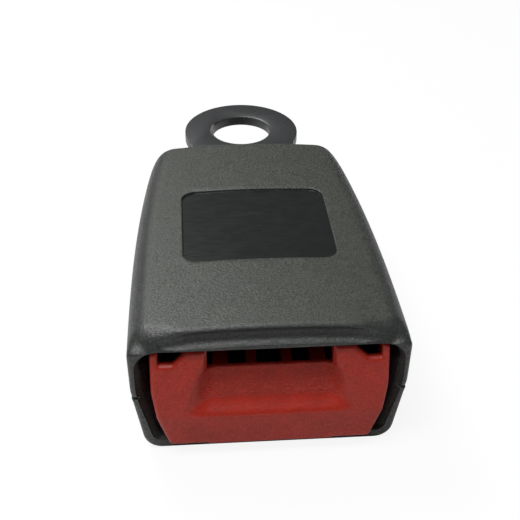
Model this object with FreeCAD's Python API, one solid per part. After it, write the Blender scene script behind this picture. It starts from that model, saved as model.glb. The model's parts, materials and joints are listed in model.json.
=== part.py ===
"""Seat belt buckle with an end release button, built as the real one is built.

The pieces are drawn in the casing's own frame, in millimetres: y = 0 is the lip over the mouth,
+Y runs from the mouth to the anchor, z = 0 is the underside of the casing and x = 0 is the middle.
They are moved to the anchor hole's frame when they are saved, so the finished part has its origin
at the centre of the anchor hole, on the underside of the strap.

At rest the buckle is open and empty: the button is out, the latch is up and the ejector is forward.
"""
import FreeCAD, Part
import math
import os

Vector = FreeCAD.Vector

# Casing, outside
CASING_LENGTH = 69.3
SIDE_ROOM = 9.12
TAIL_TAPER = 3.95
TAPER_POWER = 2.6
TAIL_ROUNDING = 0.8
TAIL_ROUNDING_POWER = 30.0
MOUTH_HEIGHT = 26.5
TAIL_DROP = 2.4
SIDE_LEAN = 2.9
SIDE_BEND_RISE = 0.8
SIDE_SWELL = 0.25
SIDE_BEND_RADIUS = 18.0
BOTTOM_CORNER_RADIUS = 3.4
TOP_CORNER_RADIUS = 4.7
CROWN_ANGLE = 4.6
FRONT_EDGE_RADIUS = 0.9
FRONT_EDGE_STEPS = 2
TAIL_EDGE_RADIUS = 2.2
TAIL_EDGE_STEPS = 3
SECTION_SPACING = 13.0
TAIL_TAB_HEIGHT = 5.4
SEAM_GROOVE_WIDTH = 0.9
SEAM_GROOVE_DEPTH = 0.6

# Casing, walls and mouth
WALL = 1.8
MIN_INSIDE_RADIUS = 0.8
RIM_DEPTH = 2.3
RIM_WALL = 1.8
RIM_FLOOR = 2.1
LIP_HEIGHT = 4.6
MOUTH_CORNER_RADIUS = 3.6
LIP_FACE_HEIGHT = 0.5
LIP_BAND_DEPTH = 1.4
LIP_STEP_HEIGHT = 0.9
RECESS_START = 21.7
RECESS_LENGTH = 26.1
RECESS_HALF_WIDTH = 14.35
RECESS_DEPTH = 0.45
RECESS_CORNER_RADIUS = 2.8
LOCATING_LIP_HEIGHT = 1.2
LOCATING_LIP_START = 9.0
LOCATING_CLEARANCE = 0.12

# The standard tongue's way in, which the widths start from
TONGUE_MOUTH_HALF_WIDTH = 10.9

# Anchor strap
LIP_TO_HOLE = 82.8
STRAP_THICKNESS = 2.5
STRAP_BEYOND_CHANNEL = 0.6
EYE_BEYOND_STRAP = 1.5
EYE_NECK_RADIUS = 5.0
ANCHOR_HOLE_RADIUS = 6.75
STRAP_TONGUE_STEP = 3.7
STRAP_SLOT_CLEARANCE = 0.2

# Frame
FRAME_START = 11.0
FRAME_WALL_END = 51.0
FRAME_END = 63.0
FRAME_THICKNESS = 2.0
ROOF_CLEARANCE = 0.2
CHANNEL_SIDE_ROOM = 0.2
FRAME_BELOW_PIVOT = 6.55
FRAME_BEND_RADIUS = 2.2
EJECTOR_SLOT_HALF_WIDTH = 3.2
EJECTOR_SLOT_START = 20.0
EJECTOR_SLOT_END = 49.0
RIVET_Y = 57.5
RIVET_EDGE_MARGIN = 5.5
RIVET_SHANK_RADIUS = 2.5
RIVET_HEAD_RADIUS = 4.0
RIVET_HEAD_SUNK = 1.0
RIVET_SET_HEIGHT = 1.3

# Latch
PIVOT_Y = 46.0
PIVOT_DROP = 7.05
PIVOT_RADIUS = 2.0
PIVOT_CLEARANCE = 0.05
LATCH_ANGLE = 6.2
LATCH_THICKNESS = 2.5
LATCH_FRONT = 14.0
LATCH_PLATE_DROP = 5.8
LATCH_EDGE_MARGIN = 3.1
LATCH_SHOULDER_Y = 38.0
NOSE_EDGE_MARGIN = 1.6
NOSE_LENGTH = 3.2
NOSE_GAP = 0.3
NOSE_RAMP_DROP = 3.1
NOSE_FLAT = 1.3
LATCH_SIDE_CLEARANCE = 0.2
BARREL_RADIUS = 3.9

# Button
BUTTON_TRAVEL = 6.0
BUTTON_BULGE = 2.0
BUTTON_BULGE_DROP = 8.2
BUTTON_TOP_SETBACK = 0.8
BUTTON_LIP_GAP = 0.3
BUTTON_BOTTOM = 2.6
BUTTON_FACE_WALL = 2.0
BUTTON_SKIRT_WALL = 1.5
BUTTON_SKIRT_END = 8.0
BUTTON_SIDE_GAP = 2.02
BUTTON_WAIST_DRAWN_IN = 0.85
BUTTON_BOTTOM_DRAWN_IN = 2.9
BUTTON_WAIST_RISE = 0.3
BUTTON_WAIST_RADIUS = 8.0
BUTTON_CHEST_RISE = 1.0
BUTTON_CHEST_RADIUS = 12.0
BUTTON_BOTTOM_CORNER_RADIUS = 0.9
BUTTON_TOP_CORNER_RADIUS = 1.3
SHELF_DROP = 2.9
SHELF_END_GAP = 1.0
SHELF_END = 6.5
SHOULDER_WIDTH = 3.5
NOTCH_DEPTH = 2.5
NOTCH_WIDTH = 2.4
TAB_WIDTH = 1.4
DISH_TOP_DEPTH = 2.0
DISH_HEIGHT = 7.7
DISH_SIDE_SLANT = 3.3
POCKET_HALF_WIDTH = 2.2
OUTER_POCKET_START = 4.0
OUTER_POCKET_WIDTH = 3.2
POCKET_SETBACK = 0.7
POCKET_DEPTH = 8.2
DISH_BACK = 4.4
ARM_GAP = 0.6
ARM_THICKNESS = 1.6
ARM_HEIGHT = 6.5
ARM_DROP = 2.1
RELEASE_PIN_Y = 24.0
RELEASE_PIN_RADIUS = 1.5
RELEASE_GAP = 0.15
ARM_END_MARGIN = 2.4
PIN_SLOT_CLEARANCE = 0.25

# Ejector
EJECTOR_TRAVEL = 12.0
EJECTOR_FRONT = 13.0
EJECTOR_LEG_END = 24.0
EJECTOR_END = 31.0
EJECTOR_SIDE_CLEARANCE = 0.4
EJECTOR_NOSE_CLEARANCE = 1.0
EJECTOR_GAP = 0.2
EJECTOR_NECK_CLEARANCE = 0.3
EJECTOR_FLANGE_HALF_WIDTH = 5.0
EJECTOR_FLANGE_LENGTH = 4.5
EJECTOR_FLANGE_THICKNESS = 0.6
EJECTOR_FLANGE_GAP = 0.12
CHANNEL_FLOOR_GAP = 0.55

# Springs
EJECTOR_SPRING_RADIUS = 1.75
EJECTOR_SPRING_WIRE = 0.25
EJECTOR_SPRING_TURNS = 6
EJECTOR_SPRING_RISE = 0.45
BUTTON_SPRING_DROP = 3.7
BUTTON_SPRING_RADIUS = 1.85
BUTTON_SPRING_WIRE = 0.3
BUTTON_SPRING_TURNS = 6
BUTTON_SPRING_SEAT = 29.0
LATCH_SPRING_Y = 20.5
LATCH_SPRING_RADIUS = 2.6
LATCH_SPRING_WIRE = 0.35
LATCH_SPRING_TURNS = 4
SPRING_SEAT_GAP = 0.05
COIL_STEPS = 8
WIRE_SIDES = 5
CLOSED_PITCH = 2.2
PEG_CLEARANCE = 0.25
PEG_LENGTH = 2.0

# Casing fasteners and ribs
BOSS_FRAME_GAP = 0.2
REAR_SCREW_DRAWN_IN = 0.1
FRONT_SCREW_Y = 36.0
REAR_SCREW_Y = 57.0
SCREW_RADIUS = 1.35
SCREW_HEAD_RADIUS = 2.1
SCREW_HEAD_HEIGHT = 1.4
SCREW_HEAD_SUNK = 0.8
SCREW_ROOF_GAP = 5.4
SCREW_POINT = 2.0
SCREW_POINT_RADIUS = 0.9
SCREW_DRIVE_DEPTH = 0.9
SCREW_DRIVE_SPAN = 2.4
SCREW_DRIVE_WIDTH = 0.6
BOSS_WALL = 1.35
BOSS_FLOOR = 4.2
RIB = 1.4
FOOT_RIB_SETBACK = 4.5
RIB_SPACING = 4.5
ROOF_RIB_DRAWN_IN = 5.5

# Heights that follow from the ones above: everything inside hangs from the casing's roof
TAIL_HEIGHT = MOUTH_HEIGHT - TAIL_DROP
LIP_UNDERSIDE = MOUTH_HEIGHT - LIP_HEIGHT
BASE_TOP = TAIL_HEIGHT - WALL - ROOF_CLEARANCE
BASE_UNDERSIDE = BASE_TOP - FRAME_THICKNESS
STRAP_TOP = BASE_UNDERSIDE
STRAP_UNDERSIDE = STRAP_TOP - STRAP_THICKNESS
SEAM_HEIGHT = STRAP_UNDERSIDE - TAIL_TAB_HEIGHT
SIDE_BEND_HEIGHT = SEAM_HEIGHT + SIDE_BEND_RISE
SHELF_TOP = BASE_UNDERSIDE - SHELF_DROP
CHANNEL_FLOOR = SHELF_TOP + CHANNEL_FLOOR_GAP
BUTTON_TOP = LIP_UNDERSIDE - BUTTON_LIP_GAP
BUTTON_BULGE_TOP = SHELF_TOP - BUTTON_BULGE_DROP
BUTTON_CHEST_HEIGHT = SIDE_BEND_HEIGHT + BUTTON_CHEST_RISE
BUTTON_WAIST_HEIGHT = (BUTTON_BOTTOM + BUTTON_CHEST_HEIGHT) / 2.0 + BUTTON_WAIST_RISE
BUTTON_SPRING_HEIGHT = SEAM_HEIGHT - BUTTON_SPRING_DROP
NOTCH_FLOOR = BUTTON_TOP - NOTCH_DEPTH
DISH_BOTTOM = SHELF_TOP - DISH_HEIGHT
POCKET_FLOOR = SHELF_TOP - POCKET_DEPTH
ARM_TOP = BASE_UNDERSIDE - ARM_DROP
ARM_BOTTOM = ARM_TOP - ARM_HEIGHT
PIVOT_Z = BASE_UNDERSIDE - PIVOT_DROP
FRAME_FOOT = PIVOT_Z - FRAME_BELOW_PIVOT
LATCH_PLATE_TOP = BASE_UNDERSIDE - LATCH_PLATE_DROP
NOSE_RAMP_START = BASE_UNDERSIDE - NOSE_RAMP_DROP
NOSE_TOP = BASE_UNDERSIDE - NOSE_GAP
RELEASE_PIN_Z = LATCH_PLATE_TOP + RELEASE_GAP + RELEASE_PIN_RADIUS
EJECTOR_SPRING_HEIGHT = BASE_UNDERSIDE + EJECTOR_SPRING_RISE
SCREW_LENGTH = TAIL_HEIGHT - SCREW_HEAD_SUNK - SCREW_HEAD_HEIGHT - SCREW_ROOF_GAP

# Widths that follow, from the tongue's way out to the casing's sides
CHANNEL_HALF_WIDTH = TONGUE_MOUTH_HALF_WIDTH + CHANNEL_SIDE_ROOM
FRAME_HALF_WIDTH = CHANNEL_HALF_WIDTH + FRAME_THICKNESS
STRAP_HALF_WIDTH = CHANNEL_HALF_WIDTH + STRAP_BEYOND_CHANNEL
EYE_RADIUS = STRAP_HALF_WIDTH + EYE_BEYOND_STRAP
RIVET_SPACING = 2.0 * (STRAP_HALF_WIDTH - RIVET_EDGE_MARGIN)
ARM_INNER = FRAME_HALF_WIDTH + ARM_GAP
ARM_OUTER = ARM_INNER + ARM_THICKNESS
MOUTH_HALF_WIDTH = ARM_OUTER + SIDE_ROOM
STRAP_TONGUE_HALF_WIDTH = STRAP_HALF_WIDTH - STRAP_TONGUE_STEP
LATCH_HALF_WIDTH = CHANNEL_HALF_WIDTH - LATCH_EDGE_MARGIN
NOSE_HALF_WIDTH = LATCH_HALF_WIDTH - NOSE_EDGE_MARGIN
EJECTOR_HALF_WIDTH = CHANNEL_HALF_WIDTH - EJECTOR_SIDE_CLEARANCE
EJECTOR_LEG_INNER = NOSE_HALF_WIDTH + EJECTOR_NOSE_CLEARANCE
SHELF_HALF_WIDTH = TONGUE_MOUTH_HALF_WIDTH - SHELF_END_GAP
DISH_BOTTOM_HALF_WIDTH = TONGUE_MOUTH_HALF_WIDTH + DISH_SIDE_SLANT
SHOULDER_HALF_WIDTH = TONGUE_MOUTH_HALF_WIDTH + SHOULDER_WIDTH
BUTTON_HALF_WIDTH = MOUTH_HALF_WIDTH - RIM_WALL - BUTTON_SIDE_GAP
BUTTON_WAIST_HALF_WIDTH = BUTTON_HALF_WIDTH - BUTTON_WAIST_DRAWN_IN
BUTTON_BOTTOM_HALF_WIDTH = BUTTON_HALF_WIDTH - BUTTON_BOTTOM_DRAWN_IN
NOTCH_OUTER = BUTTON_HALF_WIDTH - TAB_WIDTH
NOTCH_INNER = NOTCH_OUTER - NOTCH_WIDTH
BUTTON_SPRING_X = (ARM_OUTER + MOUTH_HALF_WIDTH - WALL - SIDE_LEAN + SIDE_SWELL) / 2.0
FRONT_SCREW_X = FRAME_HALF_WIDTH + BOSS_FRAME_GAP + BOSS_WALL + SCREW_RADIUS
REAR_SCREW_X = FRONT_SCREW_X - REAR_SCREW_DRAWN_IN
REACH = 60.0


def box(x0, x1, y0, y1, z0, z1):
    """A block between two corners."""
    return Part.makeBox(x1 - x0, y1 - y0, z1 - z0, Vector(x0, y0, z0))


def rod(radius, length, start, direction):
    """A round bar."""
    return Part.makeCylinder(radius, length, start, direction)


def outline(corners, place, largest_cut=0.0):
    """A closed wire round corners given as (u, v, radius); place turns (u, v) into a point.

    A corner whose radius is no more than largest_cut is cut straight across.
    """
    starts = []
    edges = []
    count = len(corners)
    for index in range(count):
        u, v, radius = corners[index]
        u_before, v_before, _ = corners[index - 1]
        u_after, v_after, _ = corners[(index + 1) % count]
        back = FreeCAD.Base.Vector2d(u_before - u, v_before - v)
        ahead = FreeCAD.Base.Vector2d(u_after - u, v_after - v)
        back_length = math.hypot(back.x, back.y)
        ahead_length = math.hypot(ahead.x, ahead.y)
        back_u = back.x / back_length
        back_v = back.y / back_length
        ahead_u = ahead.x / ahead_length
        ahead_v = ahead.y / ahead_length
        half_angle = math.acos(max(-1.0, min(1.0, back_u * ahead_u + back_v * ahead_v))) / 2.0
        if radius <= 0.0:
            starts.append((place(u, v), None, place(u, v)))
            continue
        reach = radius / math.tan(half_angle)
        bisector_u = back_u + ahead_u
        bisector_v = back_v + ahead_v
        bisector_length = math.hypot(bisector_u, bisector_v)
        to_arc = radius / math.sin(half_angle) - radius
        first = place(u + back_u * reach, v + back_v * reach)
        last = place(u + ahead_u * reach, v + ahead_v * reach)
        if radius <= largest_cut:
            starts.append((first, None, last))
            continue
        middle = place(u + bisector_u / bisector_length * to_arc, v + bisector_v / bisector_length * to_arc)
        starts.append((first, middle, last))
    for index in range(count):
        first, middle, last = starts[index]
        if middle is not None:
            edges.append(Part.Arc(first, middle, last).toShape())
        elif first.distanceToPoint(last) > 1e-6:
            edges.append(Part.LineSegment(first, last).toShape())
        following = starts[(index + 1) % count][0]
        if last.distanceToPoint(following) > 1e-6:
            edges.append(Part.LineSegment(last, following).toShape())
    return Part.Wire(edges)


def plate(corners, z0, z1):
    """A flat plate with the outline given in x and y."""
    wire = outline(corners, lambda x, y: Vector(x, y, z0))
    return Part.Face(wire).extrude(Vector(0, 0, z1 - z0))


def front_prism(corners, y0, y1):
    """A bar along Y with the outline given in x and z."""
    wire = outline(corners, lambda x, z: Vector(x, y0, z))
    return Part.Face(wire).extrude(Vector(0, y1 - y0, 0))


def side_prism(corners, x0, x1):
    """A bar along X with the outline given in y and z."""
    wire = outline(corners, lambda y, z: Vector(x0, y, z))
    return Part.Face(wire).extrude(Vector(x1 - x0, 0, 0))


def mirrored(shape):
    """The same shape on the other side of the middle."""
    return shape.mirror(Vector(0, 0, 0), Vector(1, 0, 0))


def both_sides(shape):
    """A shape and its mirror image, for cutting or joining."""
    return [shape, mirrored(shape)]


def edges_near(shape, test):
    """The edges of a shape whose whole length passes a test of (x, y, z)."""
    found = []
    for edge in shape.Edges:
        points = edge.discretize(5)
        if all(test(point.x, point.y, point.z) for point in points):
            found.append(edge)
    return found


# Casing

def half_width(y):
    """Half the casing's width, which narrows from the mouth to the tail."""
    share = max(y, 0.0) / CASING_LENGTH
    return MOUTH_HALF_WIDTH - TAIL_TAPER * share ** TAPER_POWER - TAIL_ROUNDING * share ** TAIL_ROUNDING_POWER


def top_height(y):
    """Height of the crowned top along the middle."""
    return MOUTH_HEIGHT - (MOUTH_HEIGHT - TAIL_HEIGHT) * y / CASING_LENGTH


def casing_section(y, inset, largest_cut):
    """The casing's cross section at one place, drawn in by a wall's thickness."""
    half = half_width(y) - inset
    top = top_height(y) - inset
    bottom_radius = max(BOTTOM_CORNER_RADIUS - inset, MIN_INSIDE_RADIUS)
    top_radius = max(TOP_CORNER_RADIUS - inset, MIN_INSIDE_RADIUS)
    crown = math.radians(CROWN_ANGLE)
    crown_reach = half - 1.15 * top_radius
    crown_radius = crown_reach / math.tan(crown)
    apex = top + crown_radius * (1.0 / math.cos(crown) - 1.0)
    shoulder = apex - half * math.tan(crown)
    corners = [
        (-(half - SIDE_LEAN), inset, bottom_radius),
        (half - SIDE_LEAN, inset, bottom_radius),
        (half - SIDE_SWELL, SIDE_BEND_HEIGHT, SIDE_BEND_RADIUS),
        (half, shoulder, top_radius),
        (0.0, apex, crown_radius),
        (-half, shoulder, top_radius),
        (-(half - SIDE_SWELL), SIDE_BEND_HEIGHT, SIDE_BEND_RADIUS),
    ]
    return outline(corners, lambda x, z: Vector(x, y, z), largest_cut)


def through_sections(places, largest_cut=0.0):
    """A solid drawn through the casing's sections, each given as (y, inset)."""
    return Part.makeLoft([casing_section(y, inset, largest_cut) for y, inset in places], True, True)


def places_between(start, end):
    """Evenly spaced places along the casing, with both ends."""
    count = max(1, round((end - start) / SECTION_SPACING))
    return [start + (end - start) * index / count for index in range(count + 1)]


def casing_form(inset, start, end):
    """The casing's form between two places, drawn in by a wall's thickness, with flat-cut inside corners."""
    return through_sections([(y, inset) for y in places_between(start, end)], SIDE_BEND_RADIUS)


def quarter_round(radius, steps):
    """An edge's rounding as (distance from the end face, inset), from the end face inwards."""
    turns = [math.pi / 2.0 * index / steps for index in range(steps + 1)]
    return [(radius - radius * math.cos(turn), radius - radius * math.sin(turn)) for turn in turns]


def outer_form():
    """The outside of both casing halves together, with its front and tail edges rounded."""
    front = quarter_round(FRONT_EDGE_RADIUS, FRONT_EDGE_STEPS)
    tail = [(CASING_LENGTH - distance, inset) for distance, inset in quarter_round(TAIL_EDGE_RADIUS, TAIL_EDGE_STEPS)]
    middle = [(y, 0.0) for y in places_between(front[-1][0], tail[-1][0])]
    return through_sections(front[:-1] + middle + tail[-2::-1])


def hollow_form():
    """The space inside the casing, from behind the rim to the tail wall."""
    return casing_form(WALL, RIM_DEPTH, CASING_LENGTH - WALL)


def mouth_opening():
    """The opening in the casing's front rim."""
    half = MOUTH_HALF_WIDTH - RIM_WALL
    corners = [
        (-(half - SIDE_LEAN + SIDE_SWELL), RIM_FLOOR, MOUTH_CORNER_RADIUS / 2.0),
        (half - SIDE_LEAN + SIDE_SWELL, RIM_FLOOR, MOUTH_CORNER_RADIUS / 2.0),
        (half, SIDE_BEND_HEIGHT, SIDE_BEND_RADIUS),
        (half, LIP_UNDERSIDE, MOUTH_CORNER_RADIUS),
        (-half, LIP_UNDERSIDE, MOUTH_CORNER_RADIUS),
        (-half, SIDE_BEND_HEIGHT, SIDE_BEND_RADIUS),
    ]
    return front_prism(corners, -1.0, RIM_DEPTH + 0.5)


def lip_cutter():
    """What is taken off above the mouth, leaving a sloped band under a shallow step."""
    step_foot = MOUTH_HEIGHT - LIP_STEP_HEIGHT
    corners = [
        (-3.0, MOUTH_HEIGHT + 5.0, 0.0),
        (-3.0, LIP_UNDERSIDE + LIP_FACE_HEIGHT, 0.0),
        (0.0, LIP_UNDERSIDE + LIP_FACE_HEIGHT, 0.3),
        (LIP_BAND_DEPTH, step_foot - 0.1, 0.7),
        (LIP_BAND_DEPTH + 0.45, MOUTH_HEIGHT + 0.1, 0.0),
        (LIP_BAND_DEPTH + 0.45, MOUTH_HEIGHT + 5.0, 0.0),
    ]
    return side_prism(corners, -REACH, REACH)


def recess_cutter(outer_inset):
    """The shallow polished field in the casing's top."""
    end = RECESS_START + RECESS_LENGTH
    corners = [
        (-RECESS_HALF_WIDTH, RECESS_START, RECESS_CORNER_RADIUS),
        (RECESS_HALF_WIDTH, RECESS_START, RECESS_CORNER_RADIUS),
        (RECESS_HALF_WIDTH, end, RECESS_CORNER_RADIUS),
        (-RECESS_HALF_WIDTH, end, RECESS_CORNER_RADIUS),
    ]
    return plate(corners, SEAM_HEIGHT, MOUTH_HEIGHT + 2.0).cut(outer_inset)


def seam_slab(z0, z1):
    """Everything between two heights."""
    return box(-REACH, REACH, -REACH, 2 * REACH, z0, z1)


def screw_places():
    """Where the four casing screws stand: name, x and y."""
    return [
        ("front_left", -FRONT_SCREW_X, FRONT_SCREW_Y),
        ("front_right", FRONT_SCREW_X, FRONT_SCREW_Y),
        ("rear_left", -REAR_SCREW_X, REAR_SCREW_Y),
        ("rear_right", REAR_SCREW_X, REAR_SCREW_Y),
    ]


def strap_slot():
    """The way the strap takes through the casing's tail wall, open down to the seam."""
    half = STRAP_HALF_WIDTH + STRAP_SLOT_CLEARANCE
    top = STRAP_TOP + STRAP_SLOT_CLEARANCE
    return box(-half, half, CASING_LENGTH - 3 * WALL, CASING_LENGTH + 5.0, SEAM_HEIGHT, top)


def whole_shell():
    """Both halves in one: the outside less the hollow and the mouth."""
    shell = outer_form().cut(hollow_form())
    return shell.cut(mouth_opening())


def upper_casing(whole):
    """The upper half: crowned top, lip, recess, ribs over the frame and screw bosses."""
    shell = whole.cut(lip_cutter())
    inset_form = casing_form(RECESS_DEPTH, RECESS_START - 5.0, RECESS_START + RECESS_LENGTH + 5.0)
    shell = shell.cut(recess_cutter(inset_form))
    shell = shell.common(seam_slab(SEAM_HEIGHT, 2 * MOUTH_HEIGHT))

    rebate = casing_form(WALL / 2.0 - LOCATING_CLEARANCE, LOCATING_LIP_START - 1.0, CASING_LENGTH - WALL / 2.0)
    rebate = rebate.common(seam_slab(SEAM_HEIGHT - 1.0, SEAM_HEIGHT + LOCATING_LIP_HEIGHT + LOCATING_CLEARANCE))
    shell = shell.cut(rebate)
    half_groove = SEAM_GROOVE_WIDTH / 2.0
    groove = seam_slab(SEAM_HEIGHT - 1.0, SEAM_HEIGHT + half_groove)
    groove = groove.cut(casing_form(SEAM_GROOVE_DEPTH, -1.0, CASING_LENGTH - SEAM_GROOVE_DEPTH))
    shell = shell.cut(groove)

    ribs = []
    for x in (-2 * RIB_SPACING, -RIB_SPACING, 0.0, RIB_SPACING, 2 * RIB_SPACING):
        corners = [
            (RIM_DEPTH - 0.6, LIP_UNDERSIDE, 0.0),
            (FRAME_START - 0.4, BASE_UNDERSIDE + 0.1, 0.0),
            (FRAME_START - 0.4, MOUTH_HEIGHT, 0.0),
            (RIM_DEPTH - 0.6, MOUTH_HEIGHT, 0.0),
        ]
        ribs.append(side_prism(corners, x - RIB / 2.0, x + RIB / 2.0))
    roof_rib = FRAME_HALF_WIDTH - ROOF_RIB_DRAWN_IN
    for rib in both_sides(box(roof_rib, roof_rib + RIB, FRAME_START + 3.0, FRAME_END - 0.5, BASE_TOP, MOUTH_HEIGHT)):
        ribs.append(rib)
    for name, x, y in screw_places():
        boss = rod(SCREW_RADIUS + BOSS_WALL, MOUTH_HEIGHT - SEAM_HEIGHT, Vector(x, y, SEAM_HEIGHT), Vector(0, 0, 1))
        ribs.append(boss)
    inside = casing_form(WALL / 2.0, 1.0, CASING_LENGTH - WALL / 2.0)
    inside = inside.common(seam_slab(SEAM_HEIGHT, 2 * MOUTH_HEIGHT))
    inside = inside.cut(rebate)
    carried = ribs[0].fuse(ribs[1:]).common(inside)
    shell = shell.fuse(carried)
    for name, x, y in screw_places():
        hole_top = SCREW_HEAD_SUNK + SCREW_HEAD_HEIGHT + SCREW_LENGTH + 0.8
        shell = shell.cut(rod(SCREW_RADIUS, hole_top, Vector(x, y, 0), Vector(0, 0, 1)))
    shell = shell.cut(strap_slot())
    return shell.removeSplitter()


def lower_casing(whole):
    """The lower half: floor, leaning sides, seats for frame, springs and screws, and the tail tab."""
    below = whole.common(seam_slab(-1.0, SEAM_HEIGHT))
    half_groove = SEAM_GROOVE_WIDTH / 2.0
    groove = seam_slab(SEAM_HEIGHT - half_groove, SEAM_HEIGHT + 1.0)
    groove = groove.cut(casing_form(SEAM_GROOVE_DEPTH, -1.0, CASING_LENGTH - SEAM_GROOVE_DEPTH))
    below = below.cut(groove)

    tab_half = STRAP_HALF_WIDTH - STRAP_SLOT_CLEARANCE
    tab = box(-tab_half, tab_half, CASING_LENGTH - 1.5 * WALL, CASING_LENGTH + 1.0, SEAM_HEIGHT - 1.0, STRAP_UNDERSIDE)
    tab = tab.common(whole)

    lip = casing_form(WALL / 2.0 + LOCATING_CLEARANCE, LOCATING_LIP_START, CASING_LENGTH - WALL / 2.0 - LOCATING_CLEARANCE)
    lip = lip.cut(hollow_form())
    lip = lip.common(seam_slab(SEAM_HEIGHT - 0.5, SEAM_HEIGHT + LOCATING_LIP_HEIGHT))

    ribs = []
    wall_middle = CHANNEL_HALF_WIDTH + FRAME_THICKNESS / 2.0
    foot_start = FRAME_START + FOOT_RIB_SETBACK
    foot_end = FRAME_WALL_END - 1.0
    foot = box(wall_middle - RIB / 2.0, wall_middle + RIB / 2.0, foot_start, foot_end, RIM_FLOOR - 1.0, FRAME_FOOT)
    ribs.extend(both_sides(foot))
    saddle_half = STRAP_HALF_WIDTH - STRAP_TONGUE_STEP + 1.0
    saddle = box(-saddle_half, saddle_half, FRAME_END - 0.4, FRAME_END + RIB - 0.4, RIM_FLOOR - 1.0, STRAP_UNDERSIDE)
    ribs.append(saddle)
    spring_post = box(ARM_OUTER + 0.5, REACH, BUTTON_SPRING_SEAT, BUTTON_SPRING_SEAT + RIB, RIM_FLOOR - 1.0, SEAM_HEIGHT - 0.4)
    ribs.extend(both_sides(spring_post))
    for name, x, y in screw_places():
        boss = rod(SCREW_RADIUS + BOSS_WALL, SEAM_HEIGHT, Vector(x, y, 0), Vector(0, 0, 1))
        head_seat = rod(SCREW_HEAD_RADIUS + BOSS_WALL, BOSS_FLOOR, Vector(x, y, 0), Vector(0, 0, 1))
        ribs.append(boss)
        ribs.append(head_seat)
    inside = casing_form(WALL / 2.0, RIM_DEPTH, CASING_LENGTH - WALL / 2.0)
    carried = ribs[0].fuse(ribs[1:]).common(inside)
    peg_radius = BUTTON_SPRING_RADIUS - BUTTON_SPRING_WIRE - PEG_CLEARANCE
    peg_start = Vector(BUTTON_SPRING_X, BUTTON_SPRING_SEAT + 0.5, BUTTON_SPRING_HEIGHT)
    pegs = both_sides(rod(peg_radius, PEG_LENGTH + 0.5, peg_start, Vector(0, -1, 0)))
    latch_peg_radius = LATCH_SPRING_RADIUS - LATCH_SPRING_WIRE - PEG_CLEARANCE
    latch_peg = rod(latch_peg_radius, PEG_LENGTH + 1.0, Vector(0, LATCH_SPRING_Y, WALL - 0.8), Vector(0, 0, 1))
    shell = below.fuse([tab, lip, carried, latch_peg] + pegs)
    for name, x, y in screw_places():
        shell = shell.cut(rod(SCREW_RADIUS + 0.1, SEAM_HEIGHT + 1.0, Vector(x, y, 0), Vector(0, 0, 1)))
        counterbore_depth = SCREW_HEAD_SUNK + SCREW_HEAD_HEIGHT
        shell = shell.cut(rod(SCREW_HEAD_RADIUS + 0.2, counterbore_depth, Vector(x, y, 0), Vector(0, 0, 1)))
    return shell.removeSplitter()


def casing_screw(x, y):
    """A thread-forming screw with a flat head, a cross drive and a lead point."""
    head_seat = SCREW_HEAD_SUNK + SCREW_HEAD_HEIGHT
    upward = Vector(0, 0, 1)
    head = rod(SCREW_HEAD_RADIUS, SCREW_HEAD_HEIGHT, Vector(x, y, SCREW_HEAD_SUNK), upward)
    shank = rod(SCREW_RADIUS, SCREW_LENGTH - SCREW_POINT, Vector(x, y, head_seat), upward)
    point = rod(SCREW_POINT_RADIUS, SCREW_POINT, Vector(x, y, head_seat + SCREW_LENGTH - SCREW_POINT), upward)
    screw = head.fuse([shank, point])
    half = SCREW_DRIVE_WIDTH / 2.0
    arm = SCREW_DRIVE_SPAN / 2.0
    low = SCREW_HEAD_SUNK - 0.1
    top = SCREW_HEAD_SUNK + SCREW_DRIVE_DEPTH
    cross = box(x - arm, x + arm, y - half, y + half, low, top)
    cross = cross.fuse(box(x - half, x + half, y - arm, y + arm, low, top))
    return screw.cut(cross).removeSplitter()


# Frame and strap

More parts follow.
